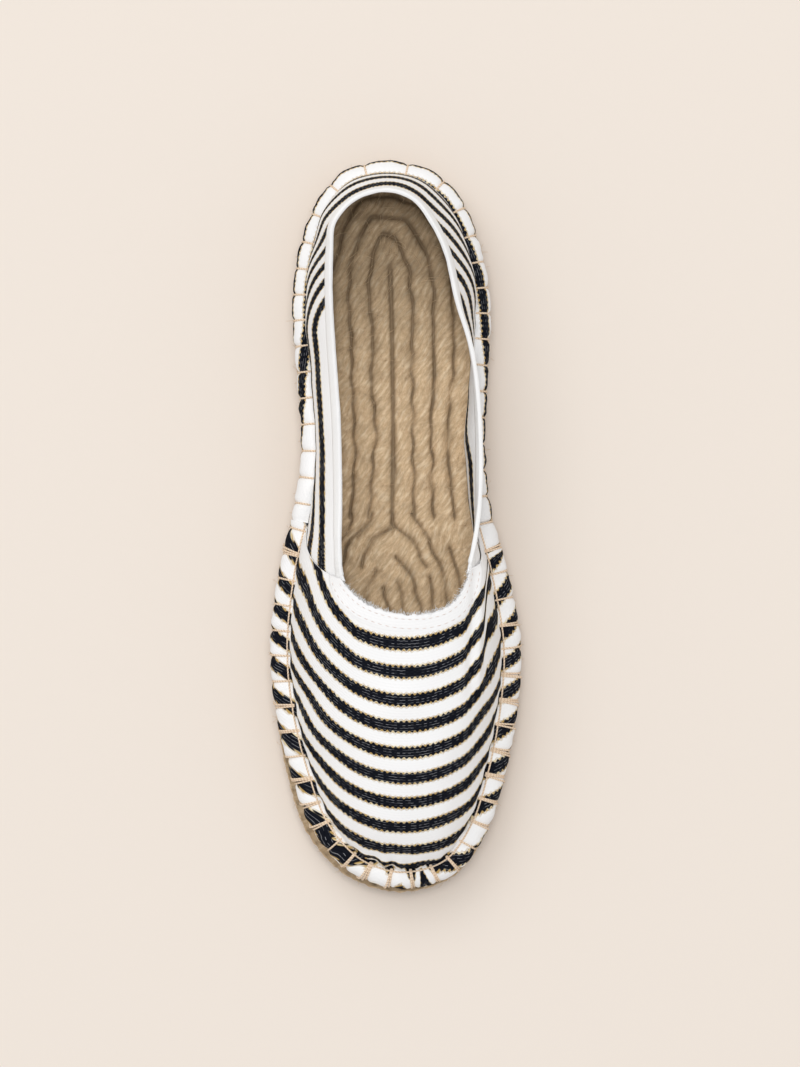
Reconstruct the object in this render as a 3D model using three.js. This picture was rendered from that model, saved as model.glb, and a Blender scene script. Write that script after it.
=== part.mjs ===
// A canvas espadrille on a plaited jute sole, one shoe for the right foot.
// Millimetres, +Z up, the toe towards -Y, the inner side of the foot towards +X.
// The origin is on the floor under the middle of the shoe's box.

import * as THREE from 'three';

// Sizes of the whole shoe
const shoeLength = 254;
const ballWidth = 86.5;
const heelHeight = 45;      // top edge over the footbed at the back of the heel
const sideHeight = 30;      // top edge over the footbed at the waist
const instepHeight = 41;    // throat over the footbed

// Sizes of the sole
const rubberThickness = 4;
const juteThickness = 18;
const lipHeight = 2.4;      // rubber standing up round the jute's foot
const lipWall = 1.3;
const rubberInset = 0.5;    // rubber's side inside the jute's outline
const rubberBevel = 0.9;
const toeSpring = 4;        // how far the toe tip stands off the floor
const springStart = 0.80;   // share of the length where the toe begins to rise
const rowCount = 4;         // coil rows between the stitched roll and the middle groove
const rowDepth = 1.1;       // grooves between the coil rows
const plaitCount = 2;       // plait ribs on the jute's side, below the canvas
const plaitDepth = 0.8;
const middleGroove = 0.7;   // half the width left open along the coil's start

// Sizes of the canvas
const canvasWall = 1.5;
const vampLap = 0.9;        // how far the vamp stands over the quarter at the side seams
const rollHeel = 5.3;       // width of the stitched roll seen from above, at the heel
const rollToe = 7.2;        // and at the forefoot
const rollCrown = 1.9;      // top of the roll over the footbed
const rollShoulder = 5.9;   // from the roll's widest line up to its top
const hemDrop = 4;          // canvas below the roll's widest line
const hemTuck = 0.6;        // how far the hem turns in
const bareToe = 2.6;        // jute left bare outside the roll at the outer side of the toe

// The tape round the top edge of the quarter
const tapeWidth = 3.2;
const tapeThickness = 0.7;

const seatGap = 0.3;        // clearance between pieces that lie on each other

// How finely the forms are divided and the curves measured
const loopSteps = 84;
const wallSteps = 7;
const rollSteps = 4;
const lapRows = 2;          // rows of points in which the vamp's lap rises from the roll
const seamStep = 0.0007;    // half the width of the lap's edge, as a share of the loop
const seamClear = 0.0028;   // no other cut lies nearer to a side seam than this share
const plaitCrease = 0.08;   // share of a plait's height where its rounded side begins
const arcDivisions = 1200;
const searchSteps = 40;

const footbed = rubberThickness + juteThickness;
const rollWidest = footbed + rollCrown - rollShoulder;
const hemLevel = rollWidest - hemDrop;
const lipTop = rubberThickness + lipHeight;

// The sole's outline. along is a share of the length from the heel's back,
// outer and inner are reaches from the middle line as shares of the ball width.
const heelBack = { along: 0, across: -0.040 };
const toeTip = { along: 1, across: 0.016 };
const outlineRows = [
  { place: 'heel back', along: 0.012, outer: 0.197, inner: 0.133 },
  { place: 'heel turn', along: 0.045, outer: 0.297, inner: 0.247 },
  { place: 'heel', along: 0.108, outer: 0.378, inner: 0.330 },
  { place: 'heel front', along: 0.190, outer: 0.414, inner: 0.376 },
  { place: 'waist back', along: 0.300, outer: 0.394, inner: 0.366 },
  { place: 'waist', along: 0.395, outer: 0.379, inner: 0.356 },
  { place: 'waist front', along: 0.477, outer: 0.412, inner: 0.380 },
  { place: 'side seam', along: 0.559, outer: 0.468, inner: 0.446 },
  { place: 'ball', along: 0.654, outer: 0.502, inner: 0.498 },
  { place: 'ball front', along: 0.736, outer: 0.490, inner: 0.490 },
  { place: 'toe side', along: 0.832, outer: 0.444, inner: 0.440 },
  { place: 'toe turn', along: 0.914, outer: 0.367, inner: 0.367 },
  { place: 'toe front', along: 0.966, outer: 0.245, inner: 0.273 },
  { place: 'toe', along: 0.989, outer: 0.133, inner: 0.173 },
];

// The upper's top edge. outer and inner are places across the middle line,
// inner side positive, as shares of the ball width.
const toplineBack = { along: 0.048, across: -0.035, height: heelHeight };
const throatMiddle = { along: 0.616, across: 0.075, height: instepHeight };
const toplineRows = [
  { place: 'heel back', along: 0.060, outer: -0.164, inner: 0.071, height: 0.99 * heelHeight },
  { place: 'heel turn', along: 0.092, outer: -0.247, inner: 0.145, height: 0.96 * heelHeight },
  { place: 'heel', along: 0.130, outer: -0.258, inner: 0.198, height: 0.91 * heelHeight },
  { place: 'heel front', along: 0.196, outer: -0.259, inner: 0.245, height: 0.82 * heelHeight },
  { place: 'waist back', along: 0.263, outer: -0.248, inner: 0.305, height: 1.10 * sideHeight },
  { place: 'waist', along: 0.356, outer: -0.229, inner: 0.336, height: 1.01 * sideHeight },
  { place: 'waist front', along: 0.464, outer: -0.223, inner: 0.336, height: 1.01 * sideHeight },
  { place: 'side seam', along: 0.524, outer: -0.225, inner: 0.312, height: 1.07 * sideHeight },
  { place: 'throat side', along: 0.564, outer: -0.214, inner: 0.280, height: 0.84 * instepHeight },
  { place: 'throat turn', along: 0.592, outer: -0.152, inner: 0.244, height: 0.92 * instepHeight },
  { place: 'throat', along: 0.608, outer: -0.067, inner: 0.190, height: 0.975 * instepHeight },
];

// Sections of the upper, once round the shoe from the heel over the inner side.
// foot and top pair a place on the outline with one on the top edge, by their shares
// of the length. Angles are in degrees from level, over 90 leaning outwards at the
// foot and flaring outwards at the top. Reaches are shares of the section's span, for
// the arc that leaves the roll and the one that meets the top edge.
const sections = [
  { place: 'heel back', side: 0, foot: 0, top: 0.048, toe: 0, bare: 0,
    footAngle: 97, footReach: 0.40, topAngle: 72, topReach: 0.30 },
  { place: 'heel inner', side: 1, foot: 0.14, top: 0.150, toe: 0, bare: 0,
    footAngle: 98, footReach: 0.42, topAngle: 60, topReach: 0.30 },
  { place: 'waist back inner', side: 1, foot: 0.27, top: 0.270, toe: 0, bare: 0,
    footAngle: 90, footReach: 0.42, topAngle: 98, topReach: 0.30 },
  { place: 'waist inner', side: 1, foot: 0.41, top: 0.415, toe: 0.1, bare: 0,
    footAngle: 80, footReach: 0.42, topAngle: 118, topReach: 0.32 },
  { place: 'seam inner', side: 1, foot: 0.50, top: 0.532, toe: 0.5, bare: 0,
    footAngle: 84, footReach: 0.40, topAngle: 72, topReach: 0.30 },
  { place: 'ball inner', side: 1, foot: 0.66, top: 0.588, toe: 1, bare: 0,
    footAngle: 82, footReach: 0.30, topAngle: 22, topReach: 0.34 },
  { place: 'toe inner', side: 1, foot: 0.86, top: 0.608, toe: 1, bare: 0,
    footAngle: 77, footReach: 0.20, topAngle: 12, topReach: 0.42 },
  { place: 'toe tip', side: 0, foot: 1, top: 0.616, toe: 1, bare: 0.7,
    footAngle: 76, footReach: 0.19, topAngle: 10, topReach: 0.44 },
  { place: 'toe outer', side: -1, foot: 0.92, top: 0.608, toe: 1, bare: 1,
    footAngle: 77, footReach: 0.20, topAngle: 12, topReach: 0.42 },
  { place: 'ball outer', side: -1, foot: 0.70, top: 0.590, toe: 1, bare: 0,
    footAngle: 80, footReach: 0.28, topAngle: 20, topReach: 0.34 },
  { place: 'seam outer', side: -1, foot: 0.50, top: 0.545, toe: 0.5, bare: 0,
    footAngle: 92, footReach: 0.40, topAngle: 52, topReach: 0.30 },
  { place: 'waist outer', side: -1, foot: 0.41, top: 0.415, toe: 0.1, bare: 0,
    footAngle: 98, footReach: 0.44, topAngle: 50, topReach: 0.32 },
  { place: 'heel outer', side: -1, foot: 0.17, top: 0.180, toe: 0, bare: 0,
    footAngle: 98, footReach: 0.42, topAngle: 55, topReach: 0.30 },
];

// Where the jute coil starts: a groove along the middle from heel to forefoot
const coilRows = [
  { along: 0.142, across: -0.056 },
  { along: 0.380, across: -0.024 },
  { along: 0.690, across: 0.004 },
];

// A place on the shoe from its share of the length and of the ball width
function placeAt(along, across) {
  return new THREE.Vector3(across * ballWidth, (0.5 - along) * shoeLength, 0);
}

function alongOf(point) {
  return 0.5 - point.y / shoeLength;
}

// A closed curve that starts at the heel's back and runs along the inner side to the toe
function loopCurve(back, front, rows, outerSign) {
  const at = (row, across) => placeAt(row.along, across).setZ(row.height ?? 0);
  const points = [at(back, back.across)];
  for (const row of rows) points.push(at(row, row.inner));
  points.push(at(front, front.across));
  for (const row of [...rows].reverse()) points.push(at(row, outerSign * row.outer));
  const curve = new THREE.CatmullRomCurve3(points, true, 'centripetal');
  curve.arcLengthDivisions = arcDivisions;
  return curve;
}

const outline = loopCurve(heelBack, toeTip, outlineRows, -1);
const topline = loopCurve(toplineBack, throatMiddle, toplineRows, 1);

// The share of a loop at its foremost point
function frontShare(curve) {
  let best = 0;
  for (let step = 0; step <= arcDivisions; step += 1) {
    if (curve.getPointAt(step / arcDivisions).y < curve.getPointAt(best).y) best = step / arcDivisions;
  }
  return best;
}

// The share of a loop where it reaches a place along the shoe, on one side of its front
function loopShare(curve, front, along, side) {
  if (side === 0) return along < alongOf(new THREE.Vector3()) ? 0 : front;
  let near = side > 0 ? 0 : 1;
  let far = front;
  for (let step = 0; step < searchSteps; step += 1) {
    const half = (near + far) / 2;
    if (alongOf(curve.getPointAt(half)) < along) near = half;
    else far = half;
  }
  return (near + far) / 2;
}

const outlineFront = frontShare(outline);
const toplineFront = frontShare(topline);
const stations = sections.map((row) => ({
  ...row,
  share: loopShare(outline, outlineFront, row.foot, row.side),
  topShare: loopShare(topline, toplineFront, row.top, row.side),
}));

function wrap(share) {
  return THREE.MathUtils.euclideanModulo(share, 1);
}

// A value of the section table at a share of the loop: a curve through the rows that
// never overshoots them. turn is what the value gains in one round, for shares.
function stationValue(share, column, turn = 0) {
  const count = stations.length;
  const rowAt = (index) => {
    const round = Math.floor(index / count);
    const row = stations[index - round * count];
    return { x: row.share + round, y: row[column] + round * turn };
  };
  let index = 0;
  while (index < count && rowAt(index + 1).x <= share) index += 1;
  const [a, b, c, d] = [-1, 0, 1, 2].map((offset) => rowAt(index + offset));
  const slope = (p, q) => (q.y - p.y) / (q.x - p.x);
  const mean = (s, t) => (s * t <= 0 ? 0 : (2 * s * t) / (s + t));
  const start = mean(slope(a, b), slope(b, c));
  const end = mean(slope(b, c), slope(c, d));
  const span = c.x - b.x;
  const t = (share - b.x) / span;
  return b.y * (1 + 2 * t) * (1 - t) ** 2 + start * span * t * (1 - t) ** 2
    + c.y * t * t * (3 - 2 * t) + end * span * t * t * (t - 1);
}

// The floor's side of the sole rises at the toe along an arc
function spring(point) {
  const past = Math.max(0, alongOf(point) - springStart) / (1 - springStart);
  return toeSpring * past * past;
}

const upAxis = new THREE.Vector3(0, 0, 1);

// The level direction from the outline towards the middle of the shoe
function inwardAt(share) {
  const tangent = outline.getTangentAt(wrap(share));
  return new THREE.Vector3(tangent.y, -tangent.x, 0).normalize();
}

// A point at a distance inside the outline and at a level over the floor
function edgePoint(share, inset, level) {
  const point = outline.getPointAt(wrap(share));
  point.addScaledVector(inwardAt(share), inset);
  return point.setZ(level + spring(point));
}

function rollWidthAt(share) {
  return THREE.MathUtils.lerp(rollHeel, rollToe, stationValue(share, 'toe'));
}

// The outer face of the stitched roll, from the hem over the shoulder to its inner line,
// or the form under it when depth is given. Below the widest line it turns in a little.
function rollPoints(share, depth = 0) {
  const bare = bareToe * stationValue(share, 'bare');
  const width = rollWidthAt(share);
  const points = [];
  for (const drop of [1, 0.5]) {
    points.push(edgePoint(share, bare + depth + hemTuck * drop * drop, rollWidest - hemDrop * drop));
  }
  for (let step = 0; step <= rollSteps; step += 1) {
    const angle = (step / rollSteps) * (Math.PI / 2);
    const inset = bare + width - (width - depth) * Math.cos(angle);
    points.push(edgePoint(share, inset, rollWidest + (rollShoulder - depth) * Math.sin(angle)));
  }
  return points;
}

// The outer face of the wall over the roll: one arc from the roll's inner line to the
// top edge, held by the section's two angles and reaches. A steep wall leaves the top
// edge square to the outline, a flat one along its own section.
function wallCurve(share) {
  const inward = inwardAt(share);
  const bare = bareToe * stationValue(share, 'bare');
  const foot = edgePoint(share, bare + rollWidthAt(share), footbed + rollCrown);
  const top = topline.getPointAt(wrap(stationValue(share, 'topShare', 1)));
  top.z += footbed;
  const span = foot.distanceTo(top);
  const level = foot.clone().sub(top).setZ(0);
  const flatness = level.length() / span;
  const away = level.normalize().multiplyScalar(flatness).addScaledVector(inward, flatness - 1).normalize();
  const pull = (from, direction, reach, angle) => from.clone()
    .addScaledVector(direction, span * reach * Math.cos(angle))
    .addScaledVector(upAxis, span * reach * Math.sin(angle));
  const footAngle = THREE.MathUtils.degToRad(stationValue(share, 'footAngle'));
  const topAngle = THREE.MathUtils.degToRad(stationValue(share, 'topAngle'));
  const footPull = pull(foot, inward, stationValue(share, 'footReach'), footAngle);
  const topPull = pull(top, away, stationValue(share, 'topReach'), -topAngle);
  return new THREE.CubicBezierCurve3(foot, footPull, topPull, top);
}

// Points up the wall: even steps, then the two lines that the tape or hem ends at
function wallPoints(share) {
  const curve = wallCurve(share);
  const length = curve.getLength();
  const points = [];
  const plain = 1 - tapeWidth / length;
  for (let step = 1; step <= wallSteps; step += 1) points.push(curve.getPointAt((plain * step) / wallSteps));
  points.push(curve.getPointAt(1 - (0.5 * tapeWidth) / length));
  points.push(curve.getPointAt(1));
  return points;
}

const seamInner = stations.find((row) => row.place === 'seam inner').share;
const seamOuter = stations.find((row) => row.place === 'seam outer').share;

// Shares of the loop where the forms are cut, with a close pair at each side seam
function loopShares() {
  const shares = [];
  for (let step = 0; step < loopSteps; step += 1) shares.push(step / loopSteps);
  const seams = [seamInner, seamOuter];
  const clear = shares.filter((share) => seams.every((seam) => Math.abs(share - seam) > seamClear));
  for (const seam of seams) clear.push(seam - seamStep, seam + seamStep);
  return clear.sort((a, b) => a - b);
}

const shares = loopShares();

function onVamp(share) {
  return share > seamInner && share < seamOuter;
}

// Collects points and triangles of one closed body
class Body {
  constructor() {
    this.positions = [];
    this.faces = [];
  }

  add(points) {
    const first = this.positions.length / 3;
    for (const point of points) this.positions.push(point.x, point.y, point.z);
    return points.map((_, index) => first + index);
  }

  quad(a, b, c, d) {
    this.faces.push(a, b, c, a, c, d);
  }

  // Joins two loops of equal count
  band(lower, upper, closed = true) {
    const count = closed ? lower.length : lower.length - 1;
    for (let index = 0; index < count; index += 1) {
      const next = (index + 1) % lower.length;
      this.quad(lower[index], lower[next], upper[next], upper[index]);
    }
  }

  // Fills a loop that is seen from above or from below
  cap(loop, facesUp) {
    const flat = loop.map((index) => new THREE.Vector2(...this.positions.slice(3 * index, 3 * index + 2)));
    for (const [a, b, c] of THREE.ShapeUtils.triangulateShape(flat, [])) {
      const corners = [loop[a], loop[b], loop[c]];
      const area = THREE.ShapeUtils.area([flat[a], flat[b], flat[c]]);
      if (area > 0 !== facesUp) corners.reverse();
      this.faces.push(...corners);
    }
  }

  // Fills a long narrow loop from above, lacing its two sides together from the heel
  lace(loop) {
    let right = 0;
    let left = loop.length - 1;
    while (left - right >= 2) {
      this.faces.push(loop[right + 1], loop[right], loop[left]);
      right += 1;
      if (left - right < 2) break;
      this.faces.push(loop[left - 1], loop[right], loop[left]);
      left -= 1;
    }
  }

  geometry() {
    const geometry = new THREE.BufferGeometry();
    geometry.setAttribute('position', new THREE.Float32BufferAttribute(this.positions, 3));
    geometry.setIndex(this.faces);
    geometry.computeVertexNormals();
    return geometry;
  }
}

// The upper's outer face as rows of points from hem to top edge, one row per share
const outerRows = shares.map((share) => [...rollPoints(share), ...wallPoints(share)]);
const creaseIndex = 2 + rollSteps;

// Directions out of the upper at each of its points, from the points around it
function outwardRows(rows) {
  const count = rows.length;
  return rows.map((row, index) => {
    const before = rows[(index + count - 1) % count];
    const after = rows[(index + 1) % count];
    return row.map((point, level) => {
      const along = after[level].clone().sub(before[level]);
      const up = row[Math.min(level + 1, row.length - 1)].clone().sub(row[Math.max(level - 1, 0)]);
      return up.cross(along).normalize();
    });
  });
}

const outward = outwardRows(outerRows);

// The canvas: outer face, inner face one wall inside it, joined at the hem and top edge.
// The vamp stands over the quarter by its lap.
function canvasFaces() {
  const lapAt = (share, level) => {
    if (!onVamp(share) || level <= creaseIndex) return 0;
    return vampLap * Math.min(1, (level - creaseIndex) / lapRows);
  };
  const outer = outerRows.map((row, index) => row.map((point, level) => (
    point.clone().addScaledVector(outward[index][level], lapAt(shares[index], level)))));
  const inner = outerRows.map((row, index) => row.map((point, level) => (
    point.clone().addScaledVector(outward[index][level], -canvasWall))));
  return { outer, inner };
}

const canvas = canvasFaces();

function upperGeometry() {
  const body = new Body();
  const levels = outerRows[0].length;
  const outerLoops = [];
  const innerLoops = [];
  for (let level = 0; level < levels; level += 1) {
    outerLoops.push(body.add(canvas.outer.map((row) => row[level])));
    innerLoops.push(body.add(canvas.inner.map((row) => row[level])));
  }
  for (let level = 0; level + 1 < levels; level += 1) {
    body.band(outerLoops[level + 1], outerLoops[level]);
    body.band(innerLoops[level], innerLoops[level + 1]);
  }
  body.band(outerLoops[0], innerLoops[0]);
  body.band(innerLoops[levels - 1], outerLoops[levels - 1]);
  return body.geometry();
}

// The tape: a folded strip that closes over the quarter's top edge, clear of it all round
function tapeGeometry() {
  const body = new Body();
  const order = [...shares.keys()].filter((index) => shares[index] > seamOuter)
    .concat([...shares.keys()].filter((index) => shares[index] < seamInner));
  const last = outerRows[0].length - 1;
  const rings = order.map((index) => {
    const face = (rows, side, lift) => [last - 2, last - 1, last].map((level) => {
      const point = rows[index][level].clone().addScaledVector(outward[index][level], side * lift);
      if (level === last) {
        const rise = rows[index][last].clone().sub(rows[index][last - 1]).normalize();
        point.addScaledVector(rise, lift);
      }
      return point;
    });
    const skin = seatGap + tapeThickness;
    return body.add([
      ...face(canvas.outer, 1, skin),
      ...face(canvas.inner, -1, skin).reverse(),
      ...face(canvas.inner, -1, seatGap),
      ...face(canvas.outer, 1, seatGap).reverse(),
    ]);
  });
  for (let index = 0; index + 1 < rings.length; index += 1) body.band(rings[index], rings[index + 1]);
  capSection(body, rings[0], false);
  capSection(body, rings[rings.length - 1], true);
  return body.geometry();
}

// Closes the end of a folded strip, whose section is two mirrored runs of points
function capSection(body, ring, end) {
  const half = ring.length / 2;
  for (let index = 0; index + 1 < half; index += 1) {
    const across = ring.length - 1 - index;
    const corners = [ring[index], ring[index + 1], ring[across - 1], ring[across]];
    if (end) body.quad(...corners);
    else body.quad(...corners.reverse());
  }
}

// The jute's side from its foot to the hem: a step over the rubber lip, then plait ribs
function plaitPoints(share) {
  const low = lipTop + seatGap;
  const high = hemLevel - seatGap;
  const footInset = rubberInset + lipWall + seatGap;
  const points = [edgePoint(share, footInset, rubberThickness + seatGap), edgePoint(share, footInset, low)];
  const pitch = (high - low) / plaitCount;
  for (let rib = 0; rib < plaitCount; rib += 1) {
    points.push(edgePoint(share, plaitDepth, low + pitch * (rib + plaitCrease)));
    points.push(edgePoint(share, 0, low + pitch * (rib + 0.5)));
    points.push(edgePoint(share, plaitDepth, low + pitch * (rib + 1 - plaitCrease)));
  }
  return points;
}

// The groove where the coil starts, seen from a point of the outline
function coilStart(point) {
  const first = coilRows[0].along;
  const last = coilRows[coilRows.length - 1].along;
  const along = THREE.MathUtils.clamp(alongOf(point), first, last);
  let index = 0;
  while (index + 2 < coilRows.length && coilRows[index + 1].along < along) index += 1;
  const from = coilRows[index];
  const to = coilRows[index + 1];
  const t = (along - from.along) / (to.along - from.along);
  const start = placeAt(along, THREE.MathUtils.lerp(from.across, to.across, t));
  const away = point.clone().setZ(0).sub(start).normalize();
  return start.addScaledVector(away, middleGroove);
}

// The footbed's rows: rings from the roll's inner line to the coil's start, ridge and
// groove in turn
function footbedPoints(share) {
  const bare = bareToe * stationValue(share, 'bare');
  const rim = edgePoint(share, bare + rollWidthAt(share), footbed);
  const start = coilStart(rim);
  const points = [];
  for (let step = 1; step <= 2 * rowCount; step += 1) {
    const point = rim.clone().setZ(0).lerp(start, step / (2 * rowCount));
    const groove = step % 2 === 0 ? rowDepth : 0;
    points.push(point.setZ(footbed - groove + spring(point)));
  }
  return points;
}

function juteGeometry() {
  const body = new Body();
  const columns = shares.map((share) => [
    ...plaitPoints(share),
    ...rollPoints(share, canvasWall + seatGap),
    ...footbedPoints(share),
  ]);
  const loops = columns[0].map((_, level) => body.add(columns.map((column) => column[level])));
  for (let level = 0; level + 1 < loops.length; level += 1) body.band(loops[level + 1], loops[level]);
  body.cap(loops[0], false);
  body.lace(loops[loops.length - 1]);
  return body.geometry();
}

// The rubber sheet with its bevelled foot and the lip round the jute
function outsoleGeometry() {
  const body = new Body();
  const columns = shares.map((share) => [
    edgePoint(share, rubberInset + rubberBevel, 0),
    edgePoint(share, rubberInset, rubberBevel),
    edgePoint(share, rubberInset, lipTop),
    edgePoint(share, rubberInset + lipWall, lipTop),
    edgePoint(share, rubberInset + lipWall, rubberThickness),
  ]);
  const loops = columns[0].map((_, level) => body.add(columns.map((column) => column[level])));
  for (let level = 0; level + 1 < loops.length; level += 1) body.band(loops[level + 1], loops[level]);
  body.cap(loops[0], false);
  body.cap(loops[loops.length - 1], true);
  return body.geometry();
}

function piece(name, geometry, color, roughness) {
  const mesh = new THREE.Mesh(geometry, new THREE.MeshStandardMaterial({ color, roughness, metalness: 0 }));
  mesh.name = name;
  return mesh;
}

const espadrille = new THREE.Group();
espadrille.add(piece('outsole', outsoleGeometry(), 0xb89b72, 0.8));
espadrille.add(piece('jute_sole', juteGeometry(), 0xb99c72, 0.95));
espadrille.add(piece('upper', upperGeometry(), 0xf0eff0, 0.9));
espadrille.add(piece('collar_tape', tapeGeometry(), 0xf7f7f7, 0.9));

export default espadrille;
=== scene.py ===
import math

import bpy
import numpy as np
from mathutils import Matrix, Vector


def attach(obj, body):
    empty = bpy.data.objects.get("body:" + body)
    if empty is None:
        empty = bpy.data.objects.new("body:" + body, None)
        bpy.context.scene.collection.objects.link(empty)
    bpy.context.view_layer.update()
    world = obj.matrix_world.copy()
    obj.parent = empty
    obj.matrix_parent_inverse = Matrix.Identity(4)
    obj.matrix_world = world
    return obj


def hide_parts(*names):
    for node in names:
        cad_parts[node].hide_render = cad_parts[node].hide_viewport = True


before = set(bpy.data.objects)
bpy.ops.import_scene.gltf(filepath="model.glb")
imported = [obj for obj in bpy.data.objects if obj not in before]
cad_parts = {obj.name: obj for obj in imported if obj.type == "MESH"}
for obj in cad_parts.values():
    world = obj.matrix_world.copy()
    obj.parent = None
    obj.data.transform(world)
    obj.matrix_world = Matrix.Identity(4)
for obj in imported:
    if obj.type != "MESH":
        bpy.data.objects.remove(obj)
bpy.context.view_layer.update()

mm = 0.001  # every shape below is worked out in millimetres

# sizes of the shoe, as the frame has them
shoe = {
    "length": 254.0,
    "ballWidth": 86.5,
    "heelHeight": 45.0,
    "sideHeight": 30.0,
    "instepHeight": 41.0,
    "rubber": 4.0,
    "jute": 18.0,
    "lipHeight": 2.4,
    "lipWall": 1.3,
    "rubberInset": 0.5,
    "rubberBevel": 0.9,
    "toeSpring": 4.0,
    "springStart": 0.80,
    "canvas": 1.5,
    "lap": 0.9,
    "rollHeel": 5.3,
    "rollToe": 7.2,
    "rollCrown": 1.9,
    "rollShoulder": 5.9,
    "hemDrop": 4.0,
    "hemTuck": 0.6,
    "bareToe": 2.6,
    "seat": 0.3,
}
footbed = shoe["rubber"] + shoe["jute"]
rollWidest = footbed + shoe["rollCrown"] - shoe["rollShoulder"]
hemLevel = rollWidest - shoe["hemDrop"]
lipTop = shoe["rubber"] + shoe["lipHeight"]

# the sole's outline: share of the length, reach to the outer and to the inner side
heelBack = (0.0, -0.040)
toeTip = (1.0, 0.016)
outlineRows = [
    (0.012, 0.197, 0.133),
    (0.045, 0.297, 0.247),
    (0.108, 0.378, 0.330),
    (0.190, 0.414, 0.376),
    (0.300, 0.394, 0.366),
    (0.395, 0.379, 0.356),
    (0.477, 0.412, 0.380),
    (0.559, 0.468, 0.446),
    (0.654, 0.502, 0.498),
    (0.736, 0.490, 0.490),
    (0.832, 0.444, 0.440),
    (0.914, 0.367, 0.367),
    (0.966, 0.245, 0.273),
    (0.989, 0.133, 0.173),
]

# the upper's top edge: share of the length, outer place, inner place, height
heelH, sideH, instepH = shoe["heelHeight"], shoe["sideHeight"], shoe["instepHeight"]
toplineBack = (0.048, -0.035, heelH)
throatMiddle = (0.616, 0.075, instepH)
toplineRows = [
    (0.060, -0.164, 0.071, 0.99 * heelH),
    (0.092, -0.247, 0.145, 0.96 * heelH),
    (0.130, -0.258, 0.198, 0.91 * heelH),
    (0.196, -0.259, 0.245, 0.82 * heelH),
    (0.263, -0.248, 0.305, 1.10 * sideH),
    (0.356, -0.229, 0.336, 1.01 * sideH),
    (0.464, -0.223, 0.336, 1.01 * sideH),
    (0.524, -0.225, 0.312, 1.07 * sideH),
    (0.564, -0.214, 0.280, 0.84 * instepH),
    (0.592, -0.152, 0.244, 0.92 * instepH),
    (0.608, -0.067, 0.190, 0.975 * instepH),
]

# sections round the shoe: side, place on the outline, place on the top edge,
# angle and reach at the foot, angle and reach at the top, roll width mix, bare jute
sectionRows = [
    (0, 0.00, 0.048, 97, 0.40, 72, 0.30, 0.0, 0.0),
    (1, 0.14, 0.150, 98, 0.42, 60, 0.30, 0.0, 0.0),
    (1, 0.27, 0.270, 90, 0.42, 98, 0.30, 0.0, 0.0),
    (1, 0.41, 0.415, 80, 0.42, 118, 0.32, 0.1, 0.0),
    (1, 0.50, 0.532, 84, 0.40, 72, 0.30, 0.5, 0.0),
    (1, 0.66, 0.588, 82, 0.30, 22, 0.34, 1.0, 0.0),
    (1, 0.86, 0.608, 77, 0.20, 12, 0.42, 1.0, 0.0),
    (0, 1.00, 0.616, 76, 0.19, 10, 0.44, 1.0, 0.7),
    (-1, 0.92, 0.608, 77, 0.20, 12, 0.42, 1.0, 1.0),
    (-1, 0.70, 0.590, 80, 0.28, 20, 0.34, 1.0, 0.0),
    (-1, 0.50, 0.545, 92, 0.40, 52, 0.30, 0.5, 0.0),
    (-1, 0.41, 0.415, 98, 0.44, 50, 0.32, 0.1, 0.0),
    (-1, 0.17, 0.180, 98, 0.42, 55, 0.30, 0.0, 0.0),
]
toeRow = 7
upAxis = np.array([0.0, 0.0, 1.0])


# A place in millimetres from shares of the length and of the ball's width; the heel is at +Y
def placeAt(along, across, height=0.0):
    return (across * shoe["ballWidth"], (0.5 - along) * shoe["length"], height)


# Directions of length one: each vector over its own length
def unit(vectors):
    return vectors / np.maximum(np.linalg.norm(vectors, axis=-1, keepdims=True), 1e-12)


# Distance run along points, from the first one on
def runAlong(points):
    steps = np.linalg.norm(np.diff(points, axis=-2), axis=-1)
    return np.concatenate([np.zeros_like(steps[..., :1]), np.cumsum(steps, axis=-1)], axis=-1)


# A bell curve: one at zero, e to the power of less the square of the value over its width
def bell(value, width):
    return np.exp(-(value / width) ** 2)


# A closed curve through points, each stretch a cubic whose ends follow the square roots
# of the distances, sampled finely and measured along its length.
def closedLoop(points, samples=240):
    p1 = np.array(points, float)
    p0, p2, p3 = np.roll(p1, 1, 0), np.roll(p1, -1, 0), np.roll(p1, -2, 0)
    gaps = [np.sqrt(np.linalg.norm(b - a, axis=1))[:, None] for a, b in ((p0, p1), (p1, p2), (p2, p3))]
    d0, d1, d2 = gaps
    t1 = ((p1 - p0) / d0 - (p2 - p0) / (d0 + d1) + (p2 - p1) / d1) * d1
    t2 = ((p2 - p1) / d1 - (p3 - p1) / (d1 + d2) + (p3 - p2) / d2) * d1
    t = np.linspace(0, 1, samples, endpoint=False)[None, :, None]
    c2 = -3 * p1 + 3 * p2 - 2 * t1 - t2
    c3 = 2 * p1 - 2 * p2 + t1 + t2
    dense = (p1[:, None] + t1[:, None] * t + c2[:, None] * t**2 + c3[:, None] * t**3).reshape(-1, 3)
    dense = np.vstack([dense, dense[:1]])
    length = runAlong(dense)
    return {"points": dense, "share": length / length[-1], "length": length[-1]}


# A point on a loop at a share of its length, between the two nearest samples in proportion
def loopAt(loop, share):
    wrapped = np.mod(share, 1.0)
    return np.stack([np.interp(wrapped, loop["share"], loop["points"][:, k]) for k in range(3)], -1)


# The share of the shoe's length at a point, zero at the heel and one at the toe
def alongOf(points):
    return 0.5 - points[..., 1] / shoe["length"]


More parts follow.
